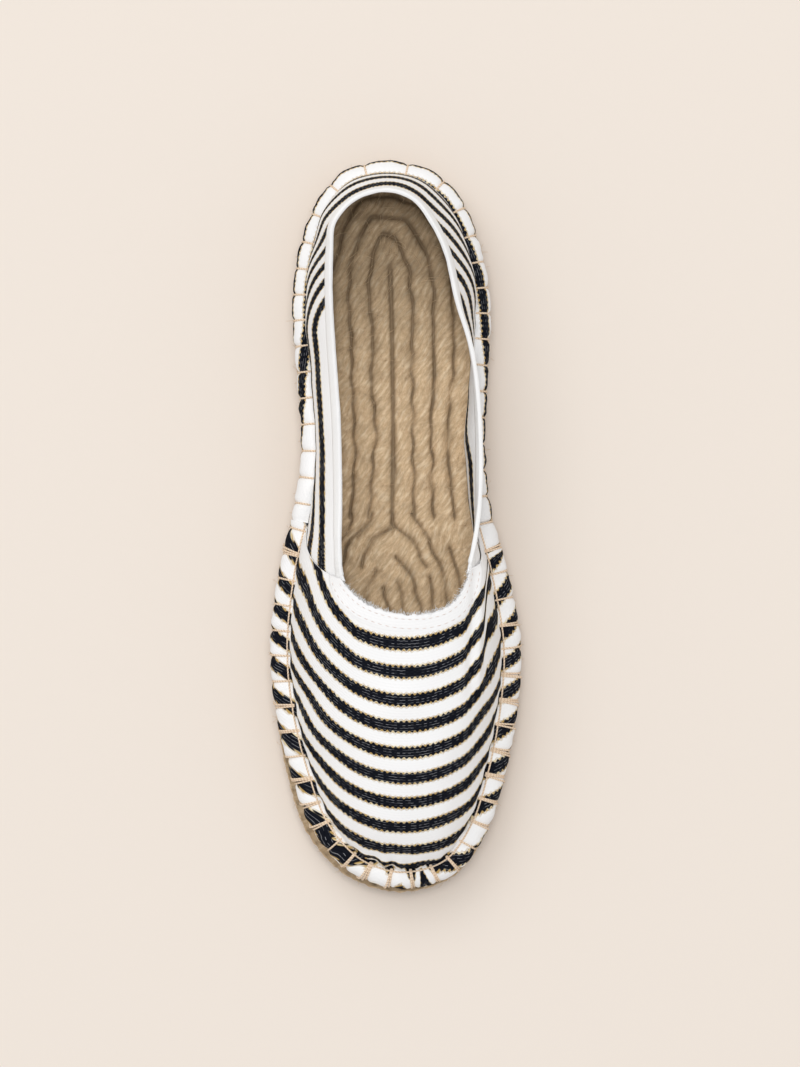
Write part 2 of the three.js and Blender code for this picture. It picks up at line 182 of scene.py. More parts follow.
outline = closedLoop(
    [placeAt(*heelBack)]
    + [placeAt(a, inner) for a, outer, inner in outlineRows]
    + [placeAt(*toeTip)]
    + [placeAt(a, -outer) for a, outer, inner in reversed(outlineRows)])
topline = closedLoop(
    [placeAt(*toplineBack)]
    + [placeAt(a, inner, h) for a, outer, inner, h in toplineRows]
    + [placeAt(*throatMiddle)]
    + [placeAt(a, outer, h) for a, outer, inner, h in reversed(toplineRows)])


# The share of a loop where one side of it reaches a place along the shoe
def shareAt(loop, along, side):
    front = int(np.argmin(loop["points"][:, 1]))
    if side == 0:
        return 0.0 if along < 0.5 else float(loop["share"][front])
    part = slice(0, front + 1) if side > 0 else slice(front, None)
    places = alongOf(loop["points"][part])
    shares = loop["share"][part]
    order = np.argsort(places)
    return float(np.interp(along, places[order], shares[order]))


stationShare = np.array([shareAt(outline, row[1], row[0]) for row in sectionRows])
stationColumns = {
    "top": np.array([shareAt(topline, row[2], row[0]) for row in sectionRows]),
    "footAngle": np.array([row[3] for row in sectionRows], float),
    "footReach": np.array([row[4] for row in sectionRows], float),
    "topAngle": np.array([row[5] for row in sectionRows], float),
    "topReach": np.array([row[6] for row in sectionRows], float),
    "toe": np.array([row[7] for row in sectionRows], float),
    "bare": np.array([row[8] for row in sectionRows], float),
}


# A column of the section rows at a share of the loop: cubics with harmonic mean slopes
def stationValue(share, column):
    turn = 1.0 if column == "top" else 0.0
    values = stationColumns[column]
    xs = np.concatenate([stationShare - 1, stationShare, stationShare + 1])
    ys = np.concatenate([values - turn, values, values + turn])
    slope = np.diff(ys) / np.diff(xs)
    product = slope[:-1] * slope[1:]
    total = np.where(np.abs(slope[:-1] + slope[1:]) < 1e-12, 1.0, slope[:-1] + slope[1:])
    tangent = np.zeros_like(ys)
    tangent[1:-1] = np.where(product > 0, 2 * product / total, 0.0)
    at = np.clip(np.searchsorted(xs, share, side="right") - 1, 0, len(xs) - 2)
    span = xs[at + 1] - xs[at]
    t = (share - xs[at]) / span
    return (ys[at] * (1 + 2 * t) * (1 - t) ** 2 + tangent[at] * span * t * (1 - t) ** 2
            + ys[at + 1] * t * t * (3 - 2 * t) + tangent[at + 1] * span * t * t * (t - 1))


# A smooth step from nought to one: three squares less two cubes of the share of the way
def smoothStep(low, high, value):
    t = np.clip((value - low) / (high - low), 0, 1)
    return t * t * (3 - 2 * t)


# The toe's rise: the square of the share of the way past the spring's start
def springAt(points):
    past = np.maximum(0, alongOf(points) - shoe["springStart"]) / (1 - shoe["springStart"])
    return shoe["toeSpring"] * past**2


# The level direction into the shoe, square to the outline's own direction
def inwardAt(share):
    tangent = loopAt(outline, share + 0.0006) - loopAt(outline, share - 0.0006)
    return unit(np.stack([tangent[..., 1], -tangent[..., 0], np.zeros_like(share)], -1))


# A point at a distance inside the outline and at a level, lifted by the toe spring
def edgePoint(share, inset, level):
    share, inset, level = np.broadcast_arrays(share, inset, level)
    point = loopAt(outline, share) + inwardAt(share) * inset[..., None]
    point[..., 2] = level + springAt(point)
    return point


# The roll's width, mixed from the heel's and the toe's by the section rows
def rollWidthAt(share):
    return shoe["rollHeel"] + (shoe["rollToe"] - shoe["rollHeel"]) * stationValue(share, "toe")


# The roll's outer face: t from 0 at the hem over the widest line at half to 1 at its
# inner line. The upper half is a quarter ellipse, the lower one turns in as a parabola.
def rollPoint(share, t, depth=0.0):
    share, t = np.broadcast_arrays(share, t)
    bare = shoe["bareToe"] * stationValue(share, "bare")
    width = rollWidthAt(share)
    angle = np.clip(2 * t - 1, 0, 1) * math.pi / 2
    drop = np.clip(1 - 2 * t, 0, 1)
    inset = bare + width - (width - depth) * np.cos(angle) + shoe["hemTuck"] * drop**2
    level = rollWidest + (shoe["rollShoulder"] - depth) * np.sin(angle) - shoe["hemDrop"] * drop
    return edgePoint(share, inset, level)


# The wall over the roll: in each section one cubic arc from the roll's inner line to the
# top edge, resampled to even steps of its length. Returns points and the arcs' lengths.
def wallPoints(share, fractions):
    inward = inwardAt(share)
    foot = edgePoint(share, shoe["bareToe"] * stationValue(share, "bare") + rollWidthAt(share),
                     footbed + shoe["rollCrown"])
    top = loopAt(topline, stationValue(share, "top"))
    top[:, 2] += footbed
    span = np.linalg.norm(foot - top, axis=1, keepdims=True)
    level = (foot - top) * [1, 1, 0]
    reach = np.linalg.norm(level, axis=1, keepdims=True)
    flatness = reach / span
    away = unit(level / reach * flatness + inward * (flatness - 1))
    footAngle = np.radians(stationValue(share, "footAngle"))[:, None]
    topAngle = np.radians(stationValue(share, "topAngle"))[:, None]
    footReach = span * stationValue(share, "footReach")[:, None]
    topReach = span * stationValue(share, "topReach")[:, None]
    footPull = foot + footReach * (inward * np.cos(footAngle) + upAxis * np.sin(footAngle))
    topPull = top + topReach * (away * np.cos(topAngle) - upAxis * np.sin(topAngle))
    t = np.linspace(0, 1, 121)[None, :, None]
    arc = (foot[:, None] * (1 - t) ** 3 + 3 * footPull[:, None] * t * (1 - t) ** 2
           + 3 * topPull[:, None] * t * t * (1 - t) + top[:, None] * t**3)
    run = runAlong(arc)
    length = run[:, -1]
    fractions = np.broadcast_to(fractions, (len(share), np.shape(fractions)[-1]))
    wanted = fractions * length[:, None]
    rows = np.arange(len(share))[:, None]
    at = np.clip((run[:, None, :] <= wanted[:, :, None]).sum(2) - 1, 0, t.shape[1] - 2)
    low, high = run[rows, at], run[rows, at + 1]
    mix = ((wanted - low) / np.maximum(high - low, 1e-9))[:, :, None]
    return arc[rows, at] * (1 - mix) + arc[rows, at + 1] * mix, length


# Directions square to a grid of points, from the differences between neighbours
def gridNormals(points):
    return unit(np.cross(np.gradient(points, axis=1), np.gradient(points, axis=0)))


# Smooth random waves over two coordinates: a sum of sines with random directions
def waves(a, b, scale, count=7, seed=1):
    local = np.random.default_rng(seed)
    total = np.zeros(np.broadcast(a, b).shape)
    for _ in range(count):
        turn = local.uniform(0, 2 * math.pi)
        size = 2 * math.pi / (scale * local.uniform(0.7, 1.5))
        total = total + np.sin(size * (a * math.cos(turn) + b * math.sin(turn)) + local.uniform(0, 6.3))
    return total / math.sqrt(count)


# Puts points (in millimetres) and arrays of faces into a mesh object, with a UV value per
# corner and named values per point
def makeMesh(name, points, faces, uv=None, values=None, smooth=True):
    mesh = bpy.data.meshes.new(name)
    points = np.ascontiguousarray(points, float).reshape(-1, 3) * mm
    counts = np.concatenate([np.full(len(part), part.shape[1]) for part in faces])
    corners = np.concatenate([part.reshape(-1) for part in faces])
    starts = np.concatenate([[0], np.cumsum(counts)[:-1]])
    mesh.vertices.add(len(points))
    mesh.vertices.foreach_set("co", points.reshape(-1))
    mesh.loops.add(len(corners))
    mesh.loops.foreach_set("vertex_index", corners.astype(np.int32))
    mesh.polygons.add(len(counts))
    mesh.polygons.foreach_set("loop_start", starts.astype(np.int32))
    mesh.polygons.foreach_set("use_smooth", np.full(len(counts), smooth))
    mesh.update(calc_edges=True)
    if uv is not None:
        layer = mesh.uv_layers.new(name="cloth")
        layer.data.foreach_set("uv", np.ascontiguousarray(uv, float).reshape(-1))
    for key, value in (values or {}).items():
        attribute = mesh.attributes.new(key, "FLOAT", "POINT")
        attribute.data.foreach_set("value", np.ascontiguousarray(value, float).reshape(-1))
    mesh.validate()
    piece = bpy.data.objects.new(name, mesh)
    bpy.context.scene.collection.objects.link(piece)
    return piece


# Quads of a grid whose rows may close along either direction
def gridFaces(rows, columns, closeRows, closeColumns):
    i = np.arange(rows if closeRows else rows - 1)[:, None]
    j = np.arange(columns if closeColumns else columns - 1)[None, :]
    nextI, nextJ = (i + 1) % rows, (j + 1) % columns
    return np.stack(np.broadcast_arrays(
        i * columns + j, i * columns + nextJ, nextI * columns + nextJ, nextI * columns + j), -1)


# Corner values of the same quads from one or more grids of values, chosen by face
def cornerValues(grids, zone):
    rows, columns = zone.shape
    i = np.arange(rows)[:, None]
    j = np.arange(columns)[None, :]
    return np.stack([grids[zone, i, j], grids[zone, i, j + 1],
                     grids[zone, i + 1, j + 1], grids[zone, i + 1, j]], 2)


# Corner values of a band whose first coordinate runs along it and whose second across it
def bandUv(along, across):
    grid = np.stack(np.broadcast_arrays(along[:, None], across[None, :]), -1)
    return cornerValues(grid[None], np.zeros((len(along) - 1, len(across) - 1), int)).reshape(-1, 2)


# Tubes round paths of equal count: rings of a circle set square to each path, both ends
# closed. The UV runs along each tube in millimetres and once round it.
def tubes(name, paths, radius, sides=6):
    count, steps = paths.shape[:2]
    tangent = unit(np.gradient(paths, axis=1))
    side = np.cross(tangent, upAxis)
    upright = np.linalg.norm(side, axis=2, keepdims=True) < 0.05
    side = unit(np.where(upright, np.cross(tangent, [1.0, 0.13, 0.0]), side))
    other = np.cross(side, tangent)
    turn = (np.arange(sides) / sides * 2 * math.pi)[:, None]
    ring = (side[:, :, None] * np.cos(turn) + other[:, :, None] * np.sin(turn)) * radius
    start = (np.arange(count) * steps * sides)[:, None]
    body = start[..., None, None] + gridFaces(steps, sides, False, True)
    first = start + np.arange(sides)
    last = first + (steps - 1) * sides
    run = runAlong(paths)
    i = np.arange(steps - 1)[:, None]
    j = np.arange(sides)
    corner = [np.stack(np.broadcast_arrays(run[:, i + ahead], (j + around) / sides), -1)
              for ahead, around in ((0, 0), (0, 1), (1, 1), (1, 0))]
    uv = np.stack(corner, 3).reshape(-1, 4, 2)[:, ::-1].reshape(-1, 2)
    return makeMesh(name, ring + paths[:, :, None], [body.reshape(-1, 4)[:, ::-1], first, last[:, ::-1]],
                    np.concatenate([uv, np.zeros((2 * count * sides, 2))]))


# Shader helpers: a value may be a number or another node's output
def addNode(tree, kind, **settings):
    node = tree.nodes.new(kind)
    for key, value in settings.items():
        setattr(node, key, value)
    return node


# Links a node's output to a socket, or sets the number or colour there
def plug(tree, socket, value):
    if isinstance(value, bpy.types.NodeSocket):
        tree.links.new(value, socket)
    else:
        socket.default_value = value


# One step of arithmetic between two values
def calc(tree, operation, a, b=0.0):
    node = addNode(tree, "ShaderNodeMath", operation=operation)
    for socket, value in zip(node.inputs, (a, b)):
        plug(tree, socket, value)
    return node.outputs[0]


# Product and sum of two values
def times(tree, a, b):
    return calc(tree, "MULTIPLY", a, b)


def plus(tree, a, b):
    return calc(tree, "ADD", a, b)


# Height of a sine wave with its lower halves turned up, one hump for each unit
def humps(tree, value):
    return calc(tree, "ABSOLUTE", calc(tree, "SINE", times(tree, value, math.pi)))


# A smooth step between two values; it falls where the first is the greater
def ramp(tree, value, low, high):
    node = addNode(tree, "ShaderNodeMapRange", interpolation_type="SMOOTHSTEP")
    for name, item in (("Value", value), ("From Min", low), ("From Max", high)):
        plug(tree, node.inputs[name], item)
    return node.outputs["Result"]


def blendColor(tree, amount, a, b):
    node = addNode(tree, "ShaderNodeMix", data_type="RGBA")
    plug(tree, node.inputs[0], amount)
    for place, color in ((6, a), (7, b)):
        plug(tree, node.inputs[place], color if isinstance(color, bpy.types.NodeSocket) else (*color, 1.0))
    return node.outputs[2]


def joinVector(tree, x, y, z=0.0):
    node = addNode(tree, "ShaderNodeCombineXYZ")
    for socket, value in zip(node.inputs, (x, y, z)):
        plug(tree, socket, value)
    return node.outputs[0]


# Fractal noise at a place, from nought to one
def grain(tree, vector, scale, detail, roughness):
    node = addNode(tree, "ShaderNodeTexNoise")
    tree.links.new(vector, node.inputs["Vector"])
    node.inputs["Scale"].default_value = scale
    node.inputs["Detail"].default_value = detail
    node.inputs["Roughness"].default_value = roughness
    return node.outputs["Fac"]


# A shader node group of plain numbers: inputs and outputs by name, filled by a function
def makeGroup(name, inputs, outputs, fill):
    group = bpy.data.node_groups.new(name, "ShaderNodeTree")
    for label, value in inputs.items():
        socket = group.interface.new_socket(label, in_out="INPUT", socket_type="NodeSocketFloat")
        socket.default_value = value
    for label in outputs:
        group.interface.new_socket(label, in_out="OUTPUT", socket_type="NodeSocketFloat")
    start = group.nodes.new("NodeGroupInput")
    end = group.nodes.new("NodeGroupOutput")
    for label, value in fill(group, start.outputs).items():
        group.links.new(value, end.inputs[label])
    return group


def useGroup(tree, group, **values):
    node = addNode(tree, "ShaderNodeGroup", node_tree=group)
    for label, value in values.items():
        plug(tree, node.inputs[label], value)
    return node.outputs


# Threads over and under each other: height of a plain weave whose rows run along the
# first coordinate, in thread counts; odd rows are shifted by half a cell
def fillWeave(tree, given):
    row = calc(tree, "FLOOR", given["Across"])
    shift = times(tree, calc(tree, "MODULO", row, 2.0), 0.5)
    cell = plus(tree, given["Along"], shift)
    hump = humps(tree, cell)
    rib = humps(tree, given["Across"])
    height = times(tree, calc(tree, "POWER", rib, 0.7), plus(tree, 0.45, times(tree, hump, 0.55)))
    seed = joinVector(tree, calc(tree, "FLOOR", cell), row)
    noise = addNode(tree, "ShaderNodeTexWhiteNoise", noise_dimensions="2D")
    tree.links.new(seed, noise.inputs["Vector"])
    gap = calc(tree, "SUBTRACT", 1.0, hump)
    return {"Height": height, "Gap": gap, "Random": noise.outputs["Value"], "Rib": rib}


weaveGroup = makeGroup("clothWeave", {"Along": 0.0, "Across": 0.0},
                       ("Height", "Gap", "Random", "Rib"), fillWeave)


# Twisted fibres: streaks that lean across a cord, two parts of fine grain to one of coarse
def fillFibres(tree, given):
    lean = plus(tree, given["Along"], times(tree, given["Across"], given["Lean"]))
    streakAt = joinVector(tree, lean, times(tree, given["Across"], 0.26))
    fine = grain(tree, streakAt, 3.2, 4.0, 0.65)
    coarse = grain(tree, streakAt, 0.9, 2.0, 0.5)
    streaks = plus(tree, times(tree, fine, 0.65), times(tree, coarse, 0.35))
    return {"Streaks": streaks, "Coarse": coarse}


fibreGroup = makeGroup("plantFibres", {"Along": 0.0, "Across": 0.0, "Lean": 0.5},
                       ("Streaks", "Coarse"), fillFibres)


def startMaterial(name, roughness):
    material = bpy.data.materials.new(name)
    material.use_nodes = True
    tree = material.node_tree
    shader = tree.nodes["Principled BSDF"]
    shader.inputs["Roughness"].default_value = roughness
    shader.inputs["Specular IOR Level"].default_value = 0.25
    return material, tree, shader


# The cloth's two coordinates in millimetres
def uvSplit(tree):
    source = addNode(tree, "ShaderNodeUVMap", uv_map="cloth")
    parts = addNode(tree, "ShaderNodeSeparateXYZ")
    tree.links.new(source.outputs[0], parts.inputs[0])
    return parts.outputs[0], parts.outputs[1]


def attributeValue(tree, name):
    return addNode(tree, "ShaderNodeAttribute", attribute_name=name).outputs["Fac"]


# Relief from a height, its distance in millimetres
def bump(tree, shader, height, distance, strength):
    node = addNode(tree, "ShaderNodeBump")
    node.inputs["Strength"].default_value = strength
    node.inputs["Distance"].default_value = distance * mm
    tree.links.new(height, node.inputs["Height"])
    tree.links.new(node.outputs[0], shader.inputs["Normal"])


stripes = {
    "pitch": 10.2,          # from one black stripe to the next
    "black": 4.3,           # width of the black band
    "rows": 4,              # weft ribs in the black band
    "speck": 1.85,          # spacing of the light specks along it
    "dot": 1.85,            # spacing of the gold dots at its edges
    "soft": 0.12,           # half the width of the edge's fading
    "ragged": 0.7,          # noise of the edge
    "tooth": 0.32,          # teeth of the edge, one for each gold dot
    "goldOut": 0.30,        # how far outside the edge the gold lies
    "white": (0.93, 0.93, 0.935),
    "ink": (0.004, 0.005, 0.009),
    "gold": (0.46, 0.29, 0.07),
}


# Striped canvas: the second coordinate counts across the stripes, the first along them.
# A band is black where the distance to the nearest stripe's middle, with noise added and a
# cosine's teeth taken off, is under half its width. Gold lies just outside that edge,
# fullest between the teeth, and light specks show in the gaps of the black weave.
def makeCanvas():
    material, tree, shader = startMaterial("stripedCanvas", 0.88)
    along, across = uvSplit(tree)
    pitch = stripes["pitch"]
    phase = calc(tree, "FLOORED_MODULO", plus(tree, across, pitch / 2), pitch)
    distance = calc(tree, "ABSOLUTE", calc(tree, "SUBTRACT", phase, pitch / 2))
    ribPitch = stripes["black"] / stripes["rows"]
    weave = useGroup(tree, weaveGroup, Along=calc(tree, "DIVIDE", along, stripes["speck"]),
                     Across=calc(tree, "DIVIDE", plus(tree, across, stripes["black"] / 2), ribPitch))
    edgeNoise = grain(tree, joinVector(tree, along, times(tree, across, 0.3)), 1.4, 2.0, 0.5)
    ragged = times(tree, calc(tree, "SUBTRACT", edgeNoise, 0.5), stripes["ragged"])
    tooth = calc(tree, "COSINE", times(tree, along, 2 * math.pi / stripes["dot"]))
    edge = calc(tree, "SUBTRACT", plus(tree, distance, ragged), times(tree, tooth, stripes["tooth"]))
    selvage = ramp(tree, across, -pitch * 0.62, -pitch * 0.42)
    half, soft = stripes["black"] / 2, stripes["soft"]
    black = times(tree, ramp(tree, edge, half + soft, half - soft), selvage)
    fromEdge = calc(tree, "ABSOLUTE", calc(tree, "SUBTRACT", edge, half + stripes["goldOut"]))
    dots = plus(tree, 0.4, times(tree, ramp(tree, tooth, 0.5, -0.5), 0.6))
    dots = times(tree, times(tree, dots, ramp(tree, fromEdge, 0.6, 0.2)), selvage)
    speckle = times(tree, ramp(tree, weave["Gap"], 0.42, 0.16), ramp(tree, weave["Rib"], 0.5, 0.15))
    speckle = times(tree, speckle, ramp(tree, weave["Random"], 0.2, 0.8))
    wash = grain(tree, joinVector(tree, along, across), 0.06, 3.0, 0.5)
    white = blendColor(tree, wash, stripes["white"], tuple(c * 0.95 for c in stripes["white"]))
    ink = blendColor(tree, times(tree, speckle, 0.6), stripes["ink"], (0.55, 0.56, 0.59))
    # painted highlight: the black is lightened where the weave's threads are raised
    ink = blendColor(tree, times(tree, weave["Height"], 0.15), ink, (0.03, 0.034, 0.048))
    color = blendColor(tree, black, white, ink)
    knot = blendColor(tree, ramp(tree, weave["Random"], 0.4, 1.0), stripes["gold"], (0.80, 0.68, 0.43))
    color = blendColor(tree, times(tree, dots, 0.95), color, knot)
    tree.links.new(color, shader.inputs["Base Color"])
    ribbed = times(tree, weave["Height"], plus(tree, 0.35, times(tree, black, 0.65)))
    relief = plus(tree, ribbed, times(tree, dots, 0.6))
    bump(tree, shader, relief, 0.22, 0.8)
    shader.inputs["Specular IOR Level"].default_value = 0.06
    return material


# White tape: the plain weave with painted shade in its gaps, under a faint wash of noise
def makeTapeMaterial():
    material, tree, shader = startMaterial("cottonTape", 0.9)
    along, across = uvSplit(tree)
    weave = useGroup(tree, weaveGroup, Along=calc(tree, "DIVIDE", along, 0.9),
                     Across=calc(tree, "DIVIDE", across, 0.55))
    wash = grain(tree, joinVector(tree, along, across), 0.12, 3.0, 0.5)
    color = blendColor(tree, wash, (0.94, 0.94, 0.94), (0.91, 0.91, 0.91))
    # painted shade in the weave's gaps
    color = blendColor(tree, times(tree, weave["Gap"], 0.08), color, (0.62, 0.60, 0.58))
    tree.links.new(color, shader.inputs["Base Color"])
    bump(tree, shader, weave["Height"], 0.15, 0.7)
    shader.inputs["Sheen Weight"].default_value = 0.1
    return material


juteLook = {
    "light": (0.80, 0.61, 0.40),
    "dark": (0.53, 0.37, 0.215),
    "gold": (0.88, 0.72, 0.51),
}


# Raw jute: streaks of light and dark fibre that lean across each cord, with painted shade from each mesh's
# groove value, deepest in the grooves between cords
def makeJute(name, lean, deep):
    material, tree, shader = startMaterial(name, 0.92)
    along, across = uvSplit(tree)
    fibres = useGroup(tree, fibreGroup, Along=along, Across=across, Lean=lean)
    groove = attributeValue(tree, "groove")
    color = blendColor(tree, ramp(tree, fibres["Streaks"], 0.30, 0.70), juteLook["dark"], juteLook["light"])
    color = blendColor(tree, ramp(tree, fibres["Coarse"], 0.48, 0.85), color, juteLook["gold"])
    # painted shade: the groove value times deep mixes the colour towards a dark brown
    shade = times(tree, groove, deep)
    color = blendColor(tree, shade, color, tuple(c * 0.30 for c in juteLook["dark"]))
    tree.links.new(color, shader.inputs["Base Color"])
    bump(tree, shader, fibres["Streaks"], 0.4, 0.75)
    return material


threadLook = {
    "twist": 1.1,           # length of one turn of a thread's plies
}


# Thread: humps of a spiral that counts the turns along it and round it, with a painted highlight on the
# humps and painted shade between them
def makeThreadMaterial(name, pale, deep):
    material, tree, shader = startMaterial(name, 0.7)
    along, around = uvSplit(tree)
    spiral = plus(tree, calc(tree, "DIVIDE", along, threadLook["twist"]), around)
    wave = humps(tree, spiral)
    # painted light: pale on the humps, deep in the twist between them
    color = blendColor(tree, calc(tree, "POWER", wave, 0.6), deep, pale)
    tree.links.new(color, shader.inputs["Base Color"])
    bump(tree, shader, wave, 0.2, 0.8)
    return material


# Crepe rubber: two tans mixed by broad noise, darkened and roughened by fine noise
def makeRubberMaterial():
    material, tree, shader = startMaterial("crepeRubber", 0.72)
    place = addNode(tree, "ShaderNodeTexCoord").outputs["Object"]
    fine = grain(tree, place, 900.0, 4.0, 0.6)
    cloud = grain(tree, place, 60.0, 3.0, 0.5)
    color = blendColor(tree, cloud, (0.36, 0.235, 0.12), (0.46, 0.32, 0.18))
    color = blendColor(tree, times(tree, fine, 0.35), color, (0.22, 0.14, 0.07))
    tree.links.new(color, shader.inputs["Base Color"])
    tree.links.new(plus(tree, 0.6, times(tree, fine, 0.3)), shader.inputs["Roughness"])
    bump(tree, shader, fine, 0.25, 0.6)
    return material


canvasMaterial = makeCanvas()
tapeMaterial = makeTapeMaterial()
footbedMaterial = makeJute("juteFootbed", 0.0, 0.8)
plaitMaterial = makeJute("jutePlait", 0.9, 0.8)
threadMaterial = makeThreadMaterial("waxedThread", (0.88, 0.71, 0.54), (0.62, 0.43, 0.28))
hemThreadMaterial = makeThreadMaterial("hemThread", (0.82, 0.70, 0.64), (0.66, 0.52, 0.46))
rubberMaterial = makeRubberMaterial()
print("materials made")


canvasLook = {
    "perStitch": (0.0, 0.05, 0.11, 0.19, 0.29, 0.39, 0.5, 0.61, 0.71, 0.81, 0.89, 0.95),  # columns
    "rollRows": 20,
    "vampRows": 76,
    "quarterRows": 40,
    "vampThickness": 1.1,
    "quarterThickness": 0.75,
    "rollThickness": 0.8,
    "puff": 0.34,           # how far the roll swells between stitches
    "pinch": 0.55,          # how far each stitch pulls it in
    "pinchWidth": 0.8,
    "pucker": 0.3,          # ripples of the wall over the stitches
    "soft": 0.3,            # slack waves of the cloth
    "hem": 6.3,             # width of the throat's hem
    "hemLift": 0.4,
    "fringe": 0.32,         # teeth of the throat's edge
    "fold": 27.6,           # place across of the soft lengthwise fold on the inner side
    "foldHeight": 0.9,
    "gather": 0.8,          # folds bunched at the tip of the toe
    "underlap": 4.5,        # quarter under the vamp at the side seams
    "tapeWidth": 3.2,
    "tapeThickness": 0.32,
    "tapeSeat": 0.08,
}
seams = {                   # the vamp's side edges: places of their feet and of their tops
    "innerFoot": 0.492,
    "innerTop": 0.556,
    "outerFoot": 0.489,
    "outerTop": 0.569,
    "spread": 0.07,         # share of the outline over which their lean fades
}
stitches = {
    "forefoot": 9.0,        # spacing of the blanket stitches
    "heel": 15.4,
    "heelReach": 30.0,      # how far the wide spacing reaches from the back of the heel
    "radius": 0.34,
    "innerLine": 0.94,      # share of the roll's width where the vamp's inner thread lies
    "dive": 1.3,            # how deep the bars' ends sink in
}

# Stitch numbers along the outline: its length divided by a spacing that is wide at the
# back of the heel and falls off as a bell curve
fineShare = np.linspace(0, 1, 4001)
fromHeel = np.minimum(fineShare, 1 - fineShare) * outline["length"]
heelBell = bell(fromHeel, stitches["heelReach"])
fineSpacing = stitches["forefoot"] + (stitches["heel"] - stitches["forefoot"]) * heelBell
fineNumber = np.cumsum(outline["length"] / fineSpacing) / len(fineShare)
fineNumber -= fineNumber[0]
stitchCount = int(round(fineNumber[-1]))
fineNumber *= stitchCount / fineNumber[-1]


# The stitch number at a share of the outline, read off the chart above
def stitchNumber(share):
    turns = np.floor(share)
    return np.interp(share - turns, fineShare, fineNumber) + turns * stitchCount


# The share of the outline at a stitch number, the same chart read backwards
def shareOfNumber(number):
    turns = np.floor(number / stitchCount)
    return np.interp(number - turns * stitchCount, fineNumber, fineShare) + turns


# Foot and top of a side seam as shares of the loop
def seamEnds(side, foot, top):
    scan = np.linspace(0, 1, 4001)
    place = alongOf(loopAt(topline, stationValue(scan, "top")))
    part = scan < stationShare[toeRow] if side > 0 else scan > stationShare[toeRow]
    order = np.argsort(place[part])
    return shareAt(outline, foot, side), float(np.interp(top, place[part][order], scan[part][order]))


innerFoot, innerTop = seamEnds(1, seams["innerFoot"], seams["innerTop"])
outerFoot, outerTop = seamEnds(-1, seams["outerFoot"], seams["outerTop"])


# How far a column leans along the shoe from foot to top: the seams' own lean at the seams,
# fading as a bell curve to either side
def columnLean(share):
    turned = np.mod(share, 1.0)
    return ((innerTop - innerFoot) * bell(turned - innerFoot, seams["spread"])
            + (outerTop - outerFoot) * bell(turned - outerFoot, seams["spread"]))


# Wall points where every point has its own share and its own fraction of the way up
def wallAt(share, fraction):
    share, fraction = np.broadcast_arrays(share, fraction)
    flatShare = np.mod(share.reshape(-1), 1.0)
    flatFraction = fraction.reshape(-1, 1)
    points, lengths = [], []
    for part in np.array_split(np.arange(len(flatShare)), max(1, len(flatShare) // 5000)):
        some, length = wallPoints(flatShare[part], flatFraction[part])
        points.append(some[:, 0])
        lengths.append(length)
    return np.concatenate(points).reshape(*share.shape, 3), np.concatenate(lengths).reshape(share.shape)


# Lift of the roll: it swells between stitches as one less a cube, and each stitch draws it
# in as a bell curve
def rollLift(share, t):
    look = canvasLook
    phase = np.abs(np.mod(stitchNumber(share), 1.0) - 0.5)
    spacing = np.interp(np.mod(share, 1.0), fineShare, fineSpacing)
    around = np.sin(np.clip(t, 0, 1) * math.pi) ** 0.7
    swell = look["puff"] * (spacing / stitches["forefoot"]) ** 1.3 * (1 - (1 - 2 * phase) ** 3)
    pulled = look["pinch"] * bell(phase * spacing, look["pinchWidth"])
    run = share * outline["length"]
    loose = 0.14 * waves(run, t * 10, 6.0, seed=3)
    return around * (swell - pulled + loose)


toeFolds = {
    "start": -60.0,         # place along the shoe ahead of which they lie
    "middle": -1.5,         # place across of the gathers
    "width": 13.0,
    "reach": 5.5,           # how far up the wall they fade
    "pleat": 8.3,           # place across of the small pleat
    "pleatDepth": 0.7,
}


# Strength of the gathers at the toe: a bell curve across that fades up the wall
def toeGather(points, up):
    across = bell(points[..., 0] - toeFolds["middle"], toeFolds["width"])
    return across * np.exp(-up / toeFolds["reach"]) * (points[..., 1] < toeFolds["start"])


# Strength of the small pleat beside the gathers: a bell curve that fades up the wall
def toePleat(points, up, width, reach):
    across = bell(points[..., 0] - toeFolds["pleat"], width)
    return across * np.exp(-up / reach) * (points[..., 1] < toeFolds["start"])


# Lift of the wall: ripples over the stitches, slack waves, and on the vamp its lap, the
# throat's folded hem, the lengthwise fold and the gathers at the toe
def wallLift(points, share, up, down, onVamp):
    look = canvasLook
    phase = np.mod(stitchNumber(share), 1.0) - 0.5
    rise = np.minimum(up / 1.5, 1)
    lift = -look["pucker"] * np.cos(2 * math.pi * phase) * np.exp(-up / 5.0) * rise
    calm = np.minimum(up / 8, 1) * smoothStep(0.0, 7.0, down)
    lift = lift + look["soft"] * waves(points[..., 0], points[..., 1], 26.0, seed=5) * calm
    if not onVamp:
        return lift
    lift = lift + shoe["lap"] * smoothStep(0.0, 4.0, up)
    lift = lift + look["hemLift"] * smoothStep(look["hem"] + 0.35, look["hem"] - 0.35, down)
    ahead = smoothStep(-66, -46, points[..., 1]) * smoothStep(-8, -16, points[..., 1])
    offFold = points[..., 0] - look["fold"] - 0.03 * (points[..., 1] + 40)
    ridge = bell(offFold, 1.3) - 0.6 * bell(offFold + 2.2, 1.5)
    lift = lift + look["foldHeight"] * ridge * ahead * np.minimum(up / 4, 1)
    folds = np.sin(points[..., 0] * 1.05 + 0.7 * np.sin(points[..., 0] * 0.31)) + 0.3
    pleat = toeFolds["pleatDepth"] * toePleat(points, up, 1.8, 4.5)
    return lift + (look["gather"] * toeGather(points, up) * folds + pleat) * rise


vampStripes = {
    "seenFrom": 2000.0,     # the stripes are laid out as seen from this height
    "middle": (1.4, -2.1),
    "level": 20.0,
    "centre": 3.1,          # where the stripes are lowest, across the shoe
    "first": -40.3,         # the first stripe's place there, along the shoe
    "spacing": 9.94,
    "shrink": 0.125,
    "lastEven": 8.0,        # beyond this stripe they lie closer
    "close": 5.5,
    "bend": 0.01295,
    "bendEdge": 4.5e-6,
    "sideStep": 5.0,        # how far they step back at the wall's foot
    "sideFade": 6.5,
}


